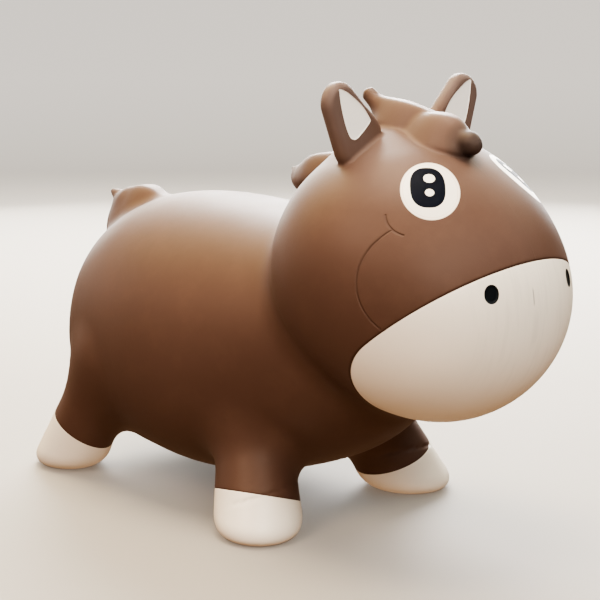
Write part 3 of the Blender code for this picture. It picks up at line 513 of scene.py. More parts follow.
class Skin:
    """Points, triangles and a zone number for each triangle."""

    def __init__(self, p, t):
        self.p, self.t = p, t
        self.zone = np.zeros(len(t), int)
        self.locked = np.zeros(len(p), bool)

    def split(self, edges, tri_edges, marked, points, locked):
        n = len(self.p)
        idx = np.full(len(edges), -1)
        idx[marked] = n + np.arange(int(marked.sum()))
        self.p = np.concatenate([self.p, points])
        self.locked = np.concatenate([self.locked, np.full(len(points), locked)])
        m = idx[tri_edges]
        c = (m >= 0).sum(1)
        tris, zones = [self.t[c == 0]], [self.zone[c == 0]]

        def turned(rows, shift):
            t, mm = self.t[rows], m[rows]
            k = (np.arange(3)[None] + shift[:, None]) % 3
            return np.take_along_axis(t, k, 1), np.take_along_axis(mm, k, 1), self.zone[rows]
        rows = np.where(c == 1)[0]
        if len(rows):
            t, mm, z = turned(rows, np.argmax(m[rows] >= 0, 1))
            tris += [np.stack([t[:, 0], mm[:, 0], t[:, 2]], 1), np.stack([mm[:, 0], t[:, 1], t[:, 2]], 1)]
            zones += [z, z]
        rows = np.where(c == 2)[0]
        if len(rows):
            t, mm, z = turned(rows, (np.argmax(m[rows] < 0, 1) + 1) % 3)
            tris.append(np.stack([mm[:, 0], t[:, 1], mm[:, 1]], 1))
            zones.append(z)
            d1 = np.linalg.norm(self.p[t[:, 0]] - self.p[mm[:, 1]], axis=1)
            d2 = np.linalg.norm(self.p[mm[:, 0]] - self.p[t[:, 2]], axis=1)
            f = d1 <= d2
            tris += [np.stack([t[f, 0], mm[f, 0], mm[f, 1]], 1), np.stack([t[f, 0], mm[f, 1], t[f, 2]], 1),
                     np.stack([t[~f, 0], mm[~f, 0], t[~f, 2]], 1), np.stack([mm[~f, 0], mm[~f, 1], t[~f, 2]], 1)]
            zones += [z[f], z[f], z[~f], z[~f]]
        rows = np.where(c == 3)[0]
        if len(rows):
            t, mm, z = self.t[rows], m[rows], self.zone[rows]
            tris += [np.stack([t[:, 0], mm[:, 0], mm[:, 2]], 1), np.stack([mm[:, 0], t[:, 1], mm[:, 1]], 1),
                     np.stack([mm[:, 2], mm[:, 1], t[:, 2]], 1), mm]
            zones += [z, z, z, z]
        self.t = np.concatenate(tris)
        self.zone = np.concatenate(zones)

    def refine(self, wanted, field, rounds):
        """Halves edges that are longer than wanted(points, normals at both ends)."""
        for _ in range(rounds):
            e, te = edges_of(self.t, len(self.p))
            n = slope_of(self.p, field, field(self.p))
            n /= np.maximum(np.linalg.norm(n, axis=1, keepdims=True), 1e-9)
            a, b = self.p[e[:, 0]], self.p[e[:, 1]]
            length = np.linalg.norm(a - b, axis=1)
            turn = 1.0 - (n[e[:, 0]] * n[e[:, 1]]).sum(1)
            marked = length > wanted(0.5 * (a + b), turn)
            if not marked.any():
                return
            tri_len = length[te]
            longest = te[np.arange(len(te)), np.argmax(tri_len, 1)]
            for _ in range(4):
                hit = marked[te].any(1)
                before = marked.sum()
                marked[longest[hit]] = True
                if marked.sum() == before:
                    break
            mid = settle(0.5 * (a[marked] + b[marked]), field, 2)
            self.split(e, te, marked, mid, False)

    def cut(self, zone, cutter, new_zone, field):
        """Triangles of one zone (or several) that lie where the cutter is below zero get a new zone."""
        which = np.isin(self.zone, zone)
        if not which.any():
            return
        g = np.full(len(self.p), np.nan)
        used = np.unique(self.t[which])
        g[used] = cutter(self.p[used])
        e, te = edges_of(self.t, len(self.p))
        mine = np.zeros(len(e), bool)
        mine[np.unique(te[which])] = True
        ga, gb = g[e[:, 0]], g[e[:, 1]]
        with np.errstate(invalid="ignore"):
            cross = mine & (ga * gb < 0)
        if cross.any():
            ce = e[cross]
            t = ga[cross] / (ga[cross] - gb[cross])
            lo, hi = np.zeros(len(ce)), np.ones(len(ce))
            a, b = self.p[ce[:, 0]], self.p[ce[:, 1]]
            sa = np.sign(ga[cross])
            for i in range(9):
                v = cutter(a + (b - a) * t[:, None])
                same = v * sa > 0
                lo = np.where(same, t, lo)
                hi = np.where(same, hi, t)
                t = 0.5 * (lo + hi)
            x = settle(a + (b - a) * t[:, None], field, 2)
            # a corner close to the line moves onto it
            near = np.minimum(t, 1 - t)
            end = np.where(t < 0.5, ce[:, 0], ce[:, 1])
            ok = (near < 0.2) & ~self.locked[end]
            order = np.argsort(near)
            order = order[ok[order]]
            seen, first = np.unique(end[order], return_index=True)
            pick = order[first]
            self.p[seen] = x[pick]
            self.locked[seen] = True
            g[seen] = 0.0
            ga, gb = g[e[:, 0]], g[e[:, 1]]
            with np.errstate(invalid="ignore"):
                still = cross & (ga * gb < 0)
            rows = still[cross]
            marked = still
            self.split(e, te, marked, x[rows], True)
            g = np.concatenate([g, np.zeros(int(rows.sum()))])
        which = np.isin(self.zone, zone)
        s = g[self.t].sum(1)
        self.zone[which & (s < 0)] = new_zone


# ---------------------------------------------------------------- zone numbers
(TORSO, HEAD, MUZZLE, LEG_FL, LEG_FR, LEG_RL, LEG_RR, HOOF_FL, HOOF_FR, HOOF_RL, HOOF_RR,
 EAR_L, EAR_R, LINE_L, LINE_R, TAILZ, EYE_L, EYE_RZ, PUP_L, PUP_R, GLI_L, GLI_R,
 NOS_L, NOS_R, VALVE) = range(25)


def side_of(p, left):
    """Below zero on the wanted side, a plane through the middle."""
    return -p[..., 1] if left else p[..., 1]


def build_skin():
    h = 0.0044
    p, q = net_surface(plain_skin, (-0.322, 0.0, -0.010), (0.326, 0.160, 0.456), h)
    p = settle(p, plain_skin, 3)
    t = quads_to_tris(p, q)
    p = relax(p, t, plain_skin, 4)
    used = np.unique(t)
    remap = np.full(len(p), -1)
    remap[used] = np.arange(len(used))
    s = Skin(p[used], remap[t])

    def wanted(mid, turn):
        r = right_side(mid)
        f = fold(mid)
        # edges turn by no more than about seven degrees
        w = np.where(turn > 0.0075, 0.0009, 1.0)
        w = np.where((turn > 0.0030) & (mid[:, 2] > 0.25), np.minimum(w, 0.0016), w)
        line = np.minimum(np.abs(np.where(mid[:, 0] > 0.16, muzzle_cut(mid), 1.0)) * 0.8, cheek_line(mid))
        line = np.minimum(line, np.abs(eye_cut(r)))
        line = np.minimum(line, np.abs(pupil_cut(r)))
        line = np.minimum(line, np.abs(glint_cut(r)))
        line = np.minimum(line, np.abs(nostril_cut(r)))
        line = np.minimum(line, np.where(mid[:, 2] > 0.385, np.abs(lining_cut(f)), 1.0))
        cuff = np.where(mid[:, 0] > -0.1, cuff_cut(mid, FRONT_CUFF), cuff_cut(mid, REAR_CUFF))
        line = np.minimum(line, np.where(mid[:, 2] < 0.09, np.abs(cuff), 1.0))
        return np.where(line < 0.0022, np.minimum(w, 0.00085), np.where(line < 0.0042, np.minimum(w, 0.0017), w))
    s.refine(wanted, plain_skin, 3)
    s.p = settle(s.p, skin, 2, 0.001)

    s.cut([TORSO], lambda x: np.minimum(head_field(x) - torso_field(x), 1.0), HEAD, skin)
    everything = [TORSO, HEAD]
    s.cut(everything, lambda x: np.maximum(taper_bar(x, *FRONT_LEG) - 0.012, -x[..., 1]), LEG_FL, skin)
    mirror = lambda x: x * np.array((1.0, -1.0, 1.0))
    s.cut(everything, lambda x: np.maximum(taper_bar(mirror(x), *FRONT_LEG) - 0.012, x[..., 1]), LEG_FR, skin)
    s.cut(everything, lambda x: np.maximum(taper_bar(x, *REAR_LEG) - 0.012, -x[..., 1]), LEG_RL, skin)
    s.cut(everything, lambda x: np.maximum(taper_bar(mirror(x), *REAR_LEG) - 0.012, x[..., 1]), LEG_RR, skin)
    for leg, hoof, cuff in ((LEG_FL, HOOF_FL, FRONT_CUFF), (LEG_FR, HOOF_FR, FRONT_CUFF),
                            (LEG_RL, HOOF_RL, REAR_CUFF), (LEG_RR, HOOF_RR, REAR_CUFF)):
        s.cut([leg], lambda x, c=cuff: cuff_cut(x, c), hoof, skin)
    s.cut([HEAD], lambda x: np.maximum(ear_field(x) - 0.009, -x[..., 1]), EAR_L, skin)
    s.cut([HEAD], lambda x: np.maximum(ear_field(mirror(x)) - 0.009, x[..., 1]), EAR_R, skin)
    s.cut([EAR_L], lambda x: lining_cut(x), LINE_L, skin)
    s.cut([EAR_R], lambda x: lining_cut(mirror(x)), LINE_R, skin)
    s.cut([TORSO], lambda x: tail_field(x) - 0.010, TAILZ, skin)
    s.cut([HEAD], lambda x: np.where(x[..., 0] > 0.15, muzzle_cut(x), 1.0), MUZZLE, skin)
    for eye, pup, gli, nos, m in ((EYE_RZ, PUP_R, GLI_R, NOS_R, lambda x: x), (EYE_L, PUP_L, GLI_L, NOS_L, mirror)):
        s.cut([HEAD], lambda x, m=m: eye_cut(m(x)), eye, skin)
        s.cut([eye], lambda x, m=m: pupil_cut(m(x)), pup, skin)
        s.cut([pup], lambda x, m=m: glint_cut(m(x)), gli, skin)
        s.cut([MUZZLE], lambda x, m=m: nostril_cut(m(x)), nos, skin)
    s.cut([TORSO], lambda x: np.maximum(np.hypot(x[..., 0] - VALVE_X, x[..., 1]) - VALVE_R,
                                        x[..., 2] - 0.05), VALVE, skin)
    return s


# ------------------------------------------------------------------- materials
def new_material(name):
    mat = bpy.data.materials.new(name)
    mat.use_nodes = True
    nt = mat.node_tree
    bsdf = nt.nodes["Principled BSDF"]
    return mat, nt, bsdf


def node(nt, kind, **values):
    n = nt.nodes.new(kind)
    for k, v in values.items():
        if k in n.inputs:
            n.inputs[k].default_value = v
        else:
            setattr(n, k, v)
    return n


def mix_colour(nt, fac, a, b, blend="MIX"):
    n = nt.nodes.new("ShaderNodeMix")
    n.data_type = 'RGBA'
    n.blend_type = blend
    for socket, value in ((n.inputs[0], fac), (n.inputs[6], a), (n.inputs[7], b)):
        if hasattr(value, "links") or hasattr(value, "is_linked"):
            nt.links.new(value, socket)
        elif isinstance(value, (int, float)):
            socket.default_value = value
        else:
            socket.default_value = (*value, 1.0)
    return n.outputs[2]


def remap(nt, value, a, b, c, d):
    n = nt.nodes.new("ShaderNodeMapRange")
    nt.links.new(value, n.inputs[0])
    for i, v in enumerate((a, b, c, d)):
        n.inputs[i + 1].default_value = v
    return n.outputs[0]


def noise(nt, coord, scale, detail=2.0, rough=0.5, stretch=None):
    n = nt.nodes.new("ShaderNodeTexNoise")
    n.inputs["Scale"].default_value = scale
    n.inputs["Detail"].default_value = detail
    n.inputs["Roughness"].default_value = rough
    if stretch:
        m = nt.nodes.new("ShaderNodeMapping")
        m.inputs["Scale"].default_value = stretch
        nt.links.new(coord, m.inputs["Vector"])
        coord = m.outputs["Vector"]
    nt.links.new(coord, n.inputs["Vector"])
    return n.outputs["Fac"]


def shade2(colour, k):
    return tuple(v * k for v in colour)


def calc(nt, operation, a, b=None):
    m = nt.nodes.new("ShaderNodeMath")
    m.operation = operation
    for i, v in enumerate((a, b)):
        if isinstance(v, (int, float)):
            m.inputs[i].default_value = v
        elif v is not None:
            nt.links.new(v, m.inputs[i])
    return m.outputs[0]


def band(nt, value, centre, core, edge):
    """One within core of the centre, falling to nought at edge."""
    off = calc(nt, 'ABSOLUTE', calc(nt, 'SUBTRACT', value, centre))
    m = nt.nodes.new("ShaderNodeMapRange")
    m.interpolation_type = 'SMOOTHSTEP'
    nt.links.new(off, m.inputs[0])
    for i, v in enumerate((edge, core, 0.0, 1.0)):
        m.inputs[i + 1].default_value = v
    return m.outputs[0]


def soft_vinyl(name, colour, shade, warm, rough, groove_shade_colour, level=0.5, tint=(1.0, 1.0, 1.0), coat=0.0, grain=0.5,
               scuffs_and_shadow=False, lock_end_shade=()):
    """Moulded soft PVC: satin, faintly uneven, with a fine skin texture and painted shade in the engraved lines."""
    mat, nt, bsdf = new_material(name)
    tc = nt.nodes.new("ShaderNodeTexCoord").outputs["Object"]
    cloud = noise(nt, tc, 7.0, 3.0, 0.55)
    patch = noise(nt, tc, 28.0, 4.0, 0.6)
    speck = noise(nt, tc, 260.0, 2.0, 0.6)
    c = mix_colour(nt, remap(nt, cloud, 0.35, 0.68, 0.0, 1.0), colour, shade)
    c = mix_colour(nt, remap(nt, patch, 0.48, 0.72, 0.0, 0.42), c, warm)
    c = mix_colour(nt, remap(nt, speck, 0.62, 0.80, 0.0, 0.10), c, shade)
    # the "line" attribute paints shade into the engraved grooves and along the paint edges
    att = nt.nodes.new("ShaderNodeAttribute")
    att.attribute_name = "line"
    c = mix_colour(nt, att.outputs["Fac"], c, groove_shade_colour)
    xyz = nt.nodes.new("ShaderNodeSeparateXYZ")
    nt.links.new(tc, xyz.inputs[0])
    # the mould's parting line runs round the middle
    worn = calc(nt, 'MULTIPLY', band(nt, xyz.outputs["Y"], 0.0, 0.00015, 0.00095),
                remap(nt, noise(nt, tc, 14.0, 2.0), 0.42, 0.62, 0.15, 1.0))
    if lock_end_shade:
        # painted highlight: the brow and the locks between the ears are painted paler on top, where the light from
        # above falls on them
        crown_highlight = calc(nt, 'MULTIPLY', remap(nt, xyz.outputs["Z"], 0.335, 0.385, 0.0, 1.0),
                    remap(nt, xyz.outputs["X"], 0.080, 0.150, 0.0, 1.0))
        c = mix_colour(nt, calc(nt, 'MULTIPLY', crown_highlight, remap(nt, patch, 0.30, 0.70, 0.62, 0.95)), c,
                       (0.108, 0.067, 0.052))
    # painted shade: each lock end listed here is painted darker towards its tip, the forelock's end knob near black,
    # where those faces turn away from the light
    for at, reach, amount, tone in lock_end_shade:
        d = nt.nodes.new("ShaderNodeVectorMath")
        d.operation = 'DISTANCE'
        nt.links.new(tc, d.inputs[0])
        d.inputs[1].default_value = at
        c = mix_colour(nt, remap(nt, d.outputs["Value"], reach, 0.25 * reach, 0.0, amount), c, tone)
    if lock_end_shade:
        # painted highlight: the ears are painted paler, for the light from behind that catches their rims
        ear_rim_highlight = calc(nt, 'MULTIPLY', remap(nt, calc(nt, 'ABSOLUTE', xyz.outputs["Y"]), 0.046, 0.064, 0.0, 1.0),
                    remap(nt, xyz.outputs["Z"], 0.372, 0.402, 0.0, 0.9))
        c = mix_colour(nt, ear_rim_highlight, c, (0.112, 0.078, 0.068))
    if scuffs_and_shadow:
        # thin upright marks and one short scratch on the front of the nose, a soft painted shadow below the scratch,
        # and faint soil low down
        front = remap(nt, xyz.outputs["X"], 0.27, 0.305, 0.0, 1.0)
        streak = remap(nt, noise(nt, tc, 20.0, 2.0, 0.5, stretch=(1.0, 9.0, 0.8)), 0.50, 0.68, 0.0, 0.40)
        c = mix_colour(nt, calc(nt, 'MULTIPLY', streak, front), c, shade2(colour, 0.84))
        scratch = calc(nt, 'MULTIPLY', band(nt, xyz.outputs["Y"], -0.0118, 0.0002, 0.0011),
                       band(nt, xyz.outputs["Z"], 0.2615, 0.0045, 0.0095))
        # painted shadow: a soft darker upright band below the scratch
        shadow = calc(nt, 'MULTIPLY', band(nt, xyz.outputs["Y"], -0.0090, 0.0010, 0.0065),
                      band(nt, xyz.outputs["Z"], 0.2330, 0.0060, 0.0240))
        c = mix_colour(nt, calc(nt, 'MULTIPLY', calc(nt, 'MULTIPLY', shadow, front), 0.30), c, shade2(colour, 0.70))
        c = mix_colour(nt, calc(nt, 'MULTIPLY', calc(nt, 'MULTIPLY', scratch, front), 0.75), c, (0.27, 0.235, 0.20))
        c = mix_colour(nt, remap(nt, noise(nt, tc, 46.0, 5.0, 0.7), 0.60, 0.82, 0.0, 0.22), c, shade2(colour, 0.80))
        low = calc(nt, 'MULTIPLY', remap(nt, xyz.outputs["Z"], 0.010, 0.0, 0.0, 0.30),
                   remap(nt, noise(nt, tc, 60.0, 4.0, 0.7), 0.38, 0.62, 0.2, 1.0))
        c = mix_colour(nt, low, c, (0.42, 0.33, 0.24))
    nt.links.new(c, bsdf.inputs["Base Color"])
    r = nt.nodes.new("ShaderNodeMath")
    r.operation = 'ADD'
    nt.links.new(remap(nt, patch, 0.3, 0.7, rough - 0.035, rough + 0.035), r.inputs[0])
    nt.links.new(remap(nt, noise(nt, tc, 480.0, 2.0, 0.5), 0.3, 0.7, -0.02, 0.02), r.inputs[1])
    nt.links.new(r.outputs[0], bsdf.inputs["Roughness"])
    bsdf.inputs["Specular IOR Level"].default_value = level
    bsdf.inputs["Specular Tint"].default_value = (*tint, 1.0)
    bsdf.inputs["Coat Weight"].default_value = coat
    bsdf.inputs["Coat Roughness"].default_value = 0.42
    seam = nt.nodes.new("ShaderNodeBump")
    seam.inputs["Strength"].default_value = 0.5
    seam.inputs["Distance"].default_value = 0.00022
    nt.links.new(worn, seam.inputs["Height"])
    wave = nt.nodes.new("ShaderNodeBump")
    nt.links.new(seam.outputs["Normal"], wave.inputs["Normal"])
    wave.inputs["Strength"].default_value = 0.35
    wave.inputs["Distance"].default_value = 0.0006
    nt.links.new(noise(nt, tc, 32.0, 2.0, 0.5), wave.inputs["Height"])
    fine = nt.nodes.new("ShaderNodeBump")
    fine.inputs["Strength"].default_value = grain
    fine.inputs["Distance"].default_value = 0.00010
    nt.links.new(noise(nt, tc, 900.0, 3.0, 0.6), fine.inputs["Height"])
    nt.links.new(wave.outputs["Normal"], fine.inputs["Normal"])
    nt.links.new(fine.outputs["Normal"], bsdf.inputs["Normal"])
    return mat


def ink(name, colour, rough, level=0.5, edge=None):
    """Printed colour; a pale print gets a fine darker edge where its layer ends."""
    mat, nt, bsdf = new_material(name)
    bsdf.inputs["Specular IOR Level"].default_value = level
    tc = nt.nodes.new("ShaderNodeTexCoord").outputs["Object"]
    c = mix_colour(nt, remap(nt, noise(nt, tc, 90.0, 3.0), 0.35, 0.7, 0.0, 0.5), colour,
                   tuple(min(1.0, v * (1.02 if colour[0] > 0.5 else 1.35) + 0.002) for v in colour))
    if edge is not None:
        # the print is two layers: a fine line shows where the upper one stops short of the edge
        xyz = nt.nodes.new("ShaderNodeSeparateXYZ")
        nt.links.new(tc, xyz.inputs[0])
        q = nt.nodes.new("ShaderNodeCombineXYZ")
        nt.links.new(calc(nt, 'SUBTRACT', xyz.outputs["X"], EYE_AT[0]), q.inputs["X"])
        nt.links.new(calc(nt, 'SUBTRACT', calc(nt, 'MULTIPLY', calc(nt, 'ABSOLUTE', xyz.outputs["Y"]), -1.0), EYE_AT[1]),
                     q.inputs["Y"])
        nt.links.new(calc(nt, 'SUBTRACT', xyz.outputs["Z"], EYE_AT[2]), q.inputs["Z"])
        parts = []
        for axis in (MARK_U, MARK_V):
            dot = nt.nodes.new("ShaderNodeVectorMath")
            dot.operation = 'DOT_PRODUCT'
            nt.links.new(q.outputs[0], dot.inputs[0])
            dot.inputs[1].default_value = tuple(axis)
            parts.append(calc(nt, 'MULTIPLY', dot.outputs["Value"], dot.outputs["Value"]))
        far = calc(nt, 'SQRT', calc(nt, 'ADD', parts[0], parts[1]))
        c = mix_colour(nt, calc(nt, 'MULTIPLY', band(nt, far, EYE_R - 0.0022, 0.0001, 0.0006), 0.35), c, edge)
        c = mix_colour(nt, calc(nt, 'MULTIPLY', band(nt, far, EYE_R, 0.0002, 0.0012), 0.55), c, edge)
    nt.links.new(c, bsdf.inputs["Base Color"])
    nt.links.new(remap(nt, noise(nt, tc, 240.0, 2.0), 0.3, 0.7, rough - 0.05, rough + 0.05), bsdf.inputs["Roughness"])
    b = nt.nodes.new("ShaderNodeBump")
    b.inputs["Strength"].default_value = 0.25
    b.inputs["Distance"].default_value = 0.00008
    nt.links.new(noise(nt, tc, 800.0, 2.0), b.inputs["Height"])
    nt.links.new(b.outputs["Normal"], bsdf.inputs["Normal"])
    return mat


# the hide carries painted shade at the ends of the forelock, the poll lock and the nape lock
HIDE = soft_vinyl("hide_vinyl", (0.075, 0.040, 0.029), (0.066, 0.034, 0.024), (0.096, 0.053, 0.038), 0.58,
                  (0.029, 0.014, 0.010), level=0.24, tint=(1.0, 0.74, 0.54), coat=0.14,
                  lock_end_shade=(((0.2245, 0.0, 0.3885), 0.025, 0.98, (0.012, 0.011, 0.013)),
                        ((0.0980, 0.0, 0.4260), 0.015, 0.55, (0.040, 0.026, 0.021)),
                        ((-0.0050, 0.0, 0.3450), 0.016, 0.45, (0.040, 0.026, 0.021))))
PAINT = soft_vinyl("white_vinyl_paint", (0.850, 0.800, 0.705), (0.825, 0.770, 0.670), (0.860, 0.810, 0.720), 0.35,
                   (0.34, 0.27, 0.20), grain=0.35, scuffs_and_shadow=True)
LINING_PAINT = soft_vinyl("lining_paint", (0.860, 0.850, 0.820), (0.840, 0.825, 0.790), (0.865, 0.855, 0.830), 0.35,
                          (0.34, 0.27, 0.20), grain=0.35)
EYE_PAINT = ink("eye_white_print", (0.84, 0.80, 0.71), 0.38, 0.4, (0.60, 0.45, 0.33))
PUPIL_INK = ink("pupil_print", (0.0020, 0.0034, 0.0080), 0.45, 0.03)
NOSTRIL_INK = ink("nostril_print", (0.0015, 0.003, 0.0045), 0.45, 0.12)
VALVE_MAT = soft_vinyl("valve_vinyl", (0.090, 0.043, 0.026), (0.080, 0.037, 0.022), (0.100, 0.049, 0.030), 0.40,
                       (0.03, 0.013, 0.008), level=0.35)


# ------------------------------------------------------------ pieces from zones
def make_piece(name, p, n, line, tris, mat):
    used = np.unique(tris)
    remap_i = np.full(len(p), -1)
    remap_i[used] = np.arange(len(used))
    t = remap_i[tris].astype(np.int32)
    mesh = bpy.data.meshes.new(name)
    mesh.vertices.add(len(used))
    mesh.vertices.foreach_set("co", p[used].astype(np.float32).ravel())
    mesh.loops.add(3 * len(t))
    mesh.loops.foreach_set("vertex_index", t.ravel())
    mesh.polygons.add(len(t))
    mesh.polygons.foreach_set("loop_start", (3 * np.arange(len(t))).astype(np.int32))
    mesh.update(calc_edges=True)
    mesh.validate()
    mesh.shade_smooth()
    mesh.normals_split_custom_set_from_vertices([tuple(v) for v in n[used]])
    # the "line" attribute carries the painted shade of the grooves
    a = mesh.attributes.new("line", 'FLOAT', 'POINT')
    a.data.foreach_set("value", line[used].astype(np.float32))
    mesh.materials.append(mat)
    obj = bpy.data.objects.new(name, mesh)
    bpy.context.collection.objects.link(obj)
    return obj


def along(a, u, s):
    return tuple(np.asarray(a) + unit(u) * s)


def rim_weight(zones, start, end):
    """Greatest blend weight on the rim of a group of zones: nought means no tear."""
    inside = np.isin(S.zone, zones)
    rim = np.intersect1d(np.unique(S.t[inside]), np.unique(S.t[~inside]))
    a, b = np.array(start), np.array(end)
    t = np.clip((S.p[rim] - a) @ (b - a) / ((b - a) @ (b - a)), 0, 1)
    print("rim of zones", zones, "weight %.5f" % float((t * t * (3 - 2 * t)).max()))


S = build_skin()
NORMAL = slope_of(S.p, skin)
NORMAL /= np.maximum(np.linalg.norm(NORMAL, axis=1, keepdims=True), 1e-9)
_m = np.where(S.p[:, 0] > 0.16, muzzle_cut(S.p), 1.0)
_cuff = np.where(S.p[:, 0] > -0.1, cuff_cut(S.p, FRONT_CUFF), cuff_cut(S.p, REAR_CUFF))
_cuff = np.where(S.p[:, 2] < 0.09, _cuff, 1.0)
# painted shade in the grooves along the muzzle's edge, the cheek lines and the hoof cuffs, and a fainter painted shade
# line just inside the white muzzle's edge
GROOVE_SHADE = np.clip(np.maximum.reduce([
    0.85 * groove(_m - 0.0007, 0.0008) * (_m > -1e-5),
    0.42 * groove(cheek_line(S.p), 0.0008) * ramp(_m, 0.0, 0.003),
    0.55 * groove(_cuff - 0.0004, 0.0007) * (_cuff > -1e-5),
    0.35 * groove(_m + 0.0002, 0.0004) * (_m <= 1e-5),
]), 0.0, 1.0)
print("skin: %d points, %d triangles, %.1f s" % (len(S.p), len(S.t), time.time() - START))

PIECES = {}


def take(name, zone, mat):
    tris = S.t[S.zone == zone]
    o = make_piece(name, S.p, NORMAL, GROOVE_SHADE, tris, mat)
    PIECES[name] = o
    return o


for name, zone, mat, nodes in (
        ("torso_skin", TORSO, HIDE, ("torso_shell",)),
        ("head_skin", HEAD, HIDE, ("head_shell", "forelock", "poll_lock", "nape_lock")),
        ("muzzle_skin", MUZZLE, PAINT, ("muzzle_shell",)),
        ("eye_white_right_print", EYE_RZ, EYE_PAINT, ("eye_white_right",)),
        ("eye_white_left_print", EYE_L, EYE_PAINT, ("eye_white_left",)),
        ("eye_pupil_right_print", PUP_R, PUPIL_INK, ("eye_pupil_right",)),
        ("eye_pupil_left_print", PUP_L, PUPIL_INK, ("eye_pupil_left",)),
        ("eye_glints_right_print", GLI_R, EYE_PAINT, ("eye_glint_upper_right", "eye_glint_lower_right")),
        ("eye_glints_left_print", GLI_L, EYE_PAINT, ("eye_glint_upper_left", "eye_glint_lower_left")),
        ("nostril_right_print", NOS_R, NOSTRIL_INK, ("nostril_right",)),
        ("nostril_left_print", NOS_L, NOSTRIL_INK, ("nostril_left",))):
    o = take(name, zone, mat)
    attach(o, "body")
    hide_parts(*nodes)

for end, leg, zones in (("front", FRONT_LEG, ((LEG_FL, HOOF_FL), (LEG_FR, HOOF_FR))),
                        ("rear", REAR_LEG, ((LEG_RL, HOOF_RL), (LEG_RR, HOOF_RR)))):
    near, far = (0.081, 0.132) if end == "front" else (0.0985, 0.140)
    for side, sign, (zl, zh) in (("left", 1, zones[0]), ("right", -1, zones[1])):
        a = np.array(leg[0]) * (1, sign, 1)
        u = unit((np.array(leg[1]) - np.array(leg[0])) * (1, sign, 1))
        rim_weight([zl, zh], along(a, u, near), along(a, u, far))
        for name, zone, mat, cad in ((f"leg_{end}_{side}_skin", zl, HIDE, f"leg_{end}_{side}"),
                                     (f"hoof_{end}_{side}_skin", zh, PAINT, f"hoof_{end}_{side}")):
            o = take(name, zone, mat)
            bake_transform(o)
            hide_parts(cad)

for side, sign, zone, lining in (("left", 1, EAR_L, LINE_L), ("right", -1, EAR_R, LINE_R)):
    a = np.array(EAR_HINGE) * (1, sign, 1)
    u = unit(np.array(EAR_LONG) * (1, sign, 1))
    rim_weight([zone, lining], along(a, u, 0.0055), along(a, u, 0.0255))
    for name, z, mat, cad in ((f"ear_{side}_skin", zone, HIDE, f"ear_{side}"),
                              (f"ear_lining_{side}_paint", lining, LINING_PAINT, f"ear_lining_{side}")):
        o = take(name, z, mat)
        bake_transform(o)
        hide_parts(cad)

rim_weight([TAILZ], along(TAIL_ROOT, RUMP, 0.010), along(TAIL_ROOT, RUMP, 0.034))
o = take("tail_skin", TAILZ, HIDE)
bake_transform(o)
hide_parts("tail")

for n in ("valve_socket", "valve_plug"):
    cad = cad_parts[n]
    for s_ in cad.material_slots:
        s_.material = VALVE_MAT

# ------------------------------------------------------------- stage and lights
def stage_bowl():
    """A round floor whose edge curves up all round into a plain backdrop."""
    prof = [(0.0, 0.0), (0.6, 0.0), (1.2, 0.0), (2.0, 0.0), (2.8, 0.0)]
    r = 1.8
    for k in range(1, 25):
        a = math.radians(90.0 * k / 24)
        prof.append((2.8 + r * math.sin(a), r - r * math.cos(a)))
    prof.append((2.8 + r, 6.0))
    count = 96
    verts = [(0.0, 0.0, 0.0)]
    faces = []
    for d, z in prof[1:]:
        for k in range(count):
            a = 2 * math.pi * k / count
            verts.append((d * math.cos(a), d * math.sin(a), z))
    for k in range(count):
        faces.append((0, 1 + k, 1 + (k + 1) % count))
    for i in range(len(prof) - 2):
        for k in range(count):
            a, b = 1 + i * count + k, 1 + i * count + (k + 1) % count
            faces.append((a, a + count, b + count, b))
    mesh = bpy.data.meshes.new("studio_floor")
    mesh.from_pydata(verts, [], faces)
    mesh.shade_smooth()
    obj = bpy.data.objects.new("studio_floor", mesh)
    bpy.context.collection.objects.link(obj)
    mat, nt, bsdf = new_material("floor_pale")
    bsdf.inputs["Base Color"].default_value = (0.27, 0.25, 0.225, 1.0)
    bsdf.inputs["Emission Color"].default_value = (0.93, 0.88, 0.81, 1.0)
    # the backdrop glows a little where the lamps don't reach it, so it stays evenly pale
    tc = nt.nodes.new("ShaderNodeTexCoord").outputs["Object"]
    d = nt.nodes.new("ShaderNodeVectorMath")
    d.operation = 'LENGTH'
    nt.links.new(tc, d.inputs[0])
    nt.links.new(remap(nt, d.outputs["Value"], 0.6, 3.6, 0.10, 0.86), bsdf.inputs["Emission Strength"])
    bsdf.inputs["Roughness"].default_value = 0.7
    bsdf.inputs["Specular IOR Level"].default_value = 0.2
    mesh.materials.append(mat)
    # the light from below comes from the world, so the pale floor doesn't wash out the belly
    obj.visible_diffuse = False
    obj.visible_glossy = False
    obj.visible_shadow = False
    return obj


stage_bowl()

LEVEL = Vector((0.7041, -0.6800, 0.0)).normalized()   # from the toy towards the camera
RIGHT = Vector((-LEVEL.y, LEVEL.x, 0.0))              # to the right in the picture
AIM = Vector((0.0, 0.0, 0.22))


def softbox(name, azimuth, height, power, colour=(1.0, 1.0, 1.0), size=1.1, away=2.1):
    """A round soft light. Azimuth is measured from the camera's side towards the picture's right."""
    az, el = math.radians(azimuth), math.radians(height)
    d = (LEVEL * math.cos(az) + RIGHT * math.sin(az)) * math.cos(el) + Vector((0, 0, 1)) * math.sin(el)
    light = bpy.data.lights.new(name, 'AREA')
    light.shape = 'DISK'
    light.size = size
    light.energy = power
    light.color = colour
    obj = bpy.data.objects.new(name, light)
    obj.location = AIM + d * away
    obj.rotation_euler = (-d).to_track_quat('-Z', 'Y').to_euler()
    obj.visible_camera = False
    bpy.context.collection.objects.link(obj)
    return obj


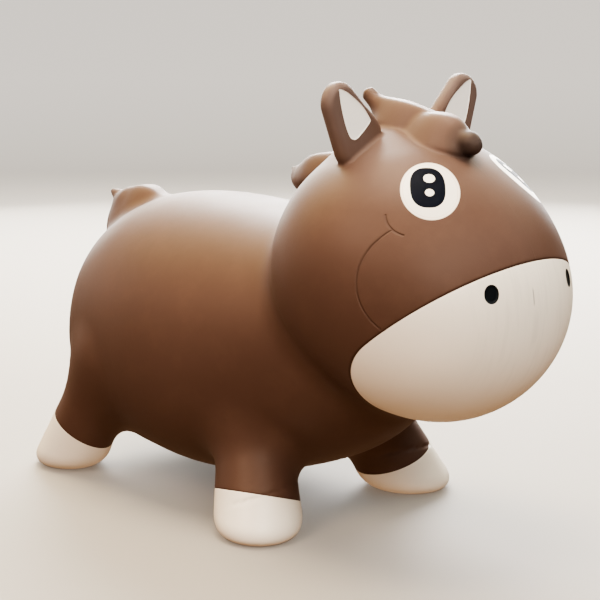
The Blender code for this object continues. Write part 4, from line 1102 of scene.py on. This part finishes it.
for name, azimuth, height, power, colour in (
        ("window_middle", 180, 35, 118.0, (1.0, 0.99, 0.98)), ("window_low", 180, 12, 12.0, (1.0, 1.0, 1.0)),
        ("window_left_low", -160, 12, 25.0, (1.0, 0.99, 0.94)), ("window_left", -160, 35, 12.0, (1.0, 0.98, 0.82)),
        ("window_right_low", 160, 15, 54.0, (1.0, 1.0, 1.0)), ("sky_left", -140, 60, 34.0, (1.0, 0.79, 0.40)),
        ("side_left_low", -125, 12, 7.0, (1.0, 0.95, 0.90)), ("side_left", -120, 40, 20.0, (1.0, 0.80, 0.42)),
        ("wall_left", -90, 20, 4.0, (1.0, 0.85, 0.80)), ("top", 0, 88, 78.0, (1.0, 0.86, 0.69)),
        ("front_left", -45, 40, 38.0, (1.0, 0.78, 0.61)), ("front", 10, 30, 29.0, (1.0, 0.93, 0.83)),
        ("front_right", 45, 40, 17.0, (1.0, 0.97, 0.92)), ("wall_right", 85, 35, 7.0, (0.97, 1.0, 1.0)),
        ("back_right", 130, 40, 19.0, (1.0, 0.87, 0.66)), ("floor_glow", 0, -38, 5.0, (1.0, 0.66, 0.42))):
    softbox(name, azimuth, height, power, colour)

# the world stands for the light that a warm floor sends up: it is dark above the horizon
world = bpy.data.worlds.new("studio")
bpy.context.scene.world = world
world.use_nodes = True
wt = world.node_tree
bg = wt.nodes["Background"]
bg.inputs["Color"].default_value = (1.0, 0.60, 0.34, 1.0)
sky = wt.nodes.new("ShaderNodeTexCoord")
up = wt.nodes.new("ShaderNodeSeparateXYZ")
below = wt.nodes.new("ShaderNodeMapRange")
wt.links.new(sky.outputs["Generated"], up.inputs[0])
wt.links.new(up.outputs["Z"], below.inputs[0])
for i, v in enumerate((-0.02, 0.02, 0.38, 0.0)):
    below.inputs[i + 1].default_value = v
wt.links.new(below.outputs[0], bg.inputs["Strength"])

cam = bpy.data.cameras.new("camera")
cam.lens = 96.0
cam.sensor_width = 36.0
cam.sensor_fit = 'HORIZONTAL'
cam.clip_start, cam.clip_end = 0.05, 50.0
cam_obj = bpy.data.objects.new("camera", cam)
TARGET = Vector((0.003, 0.0, 0.2108))
BACK = Vector((0.7041, -0.6800, 0.2045))
cam_obj.location = TARGET + BACK.normalized() * 1.64
cam_obj.rotation_euler = (-BACK).to_track_quat('-Z', 'Y').to_euler()
bpy.context.collection.objects.link(cam_obj)
bpy.context.scene.camera = cam_obj
bpy.context.scene.view_settings.view_transform = 'AgX'
bpy.context.scene.view_settings.look = 'AgX - Medium High Contrast'

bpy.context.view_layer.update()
print("scene: %.1f s" % (time.time() - START))
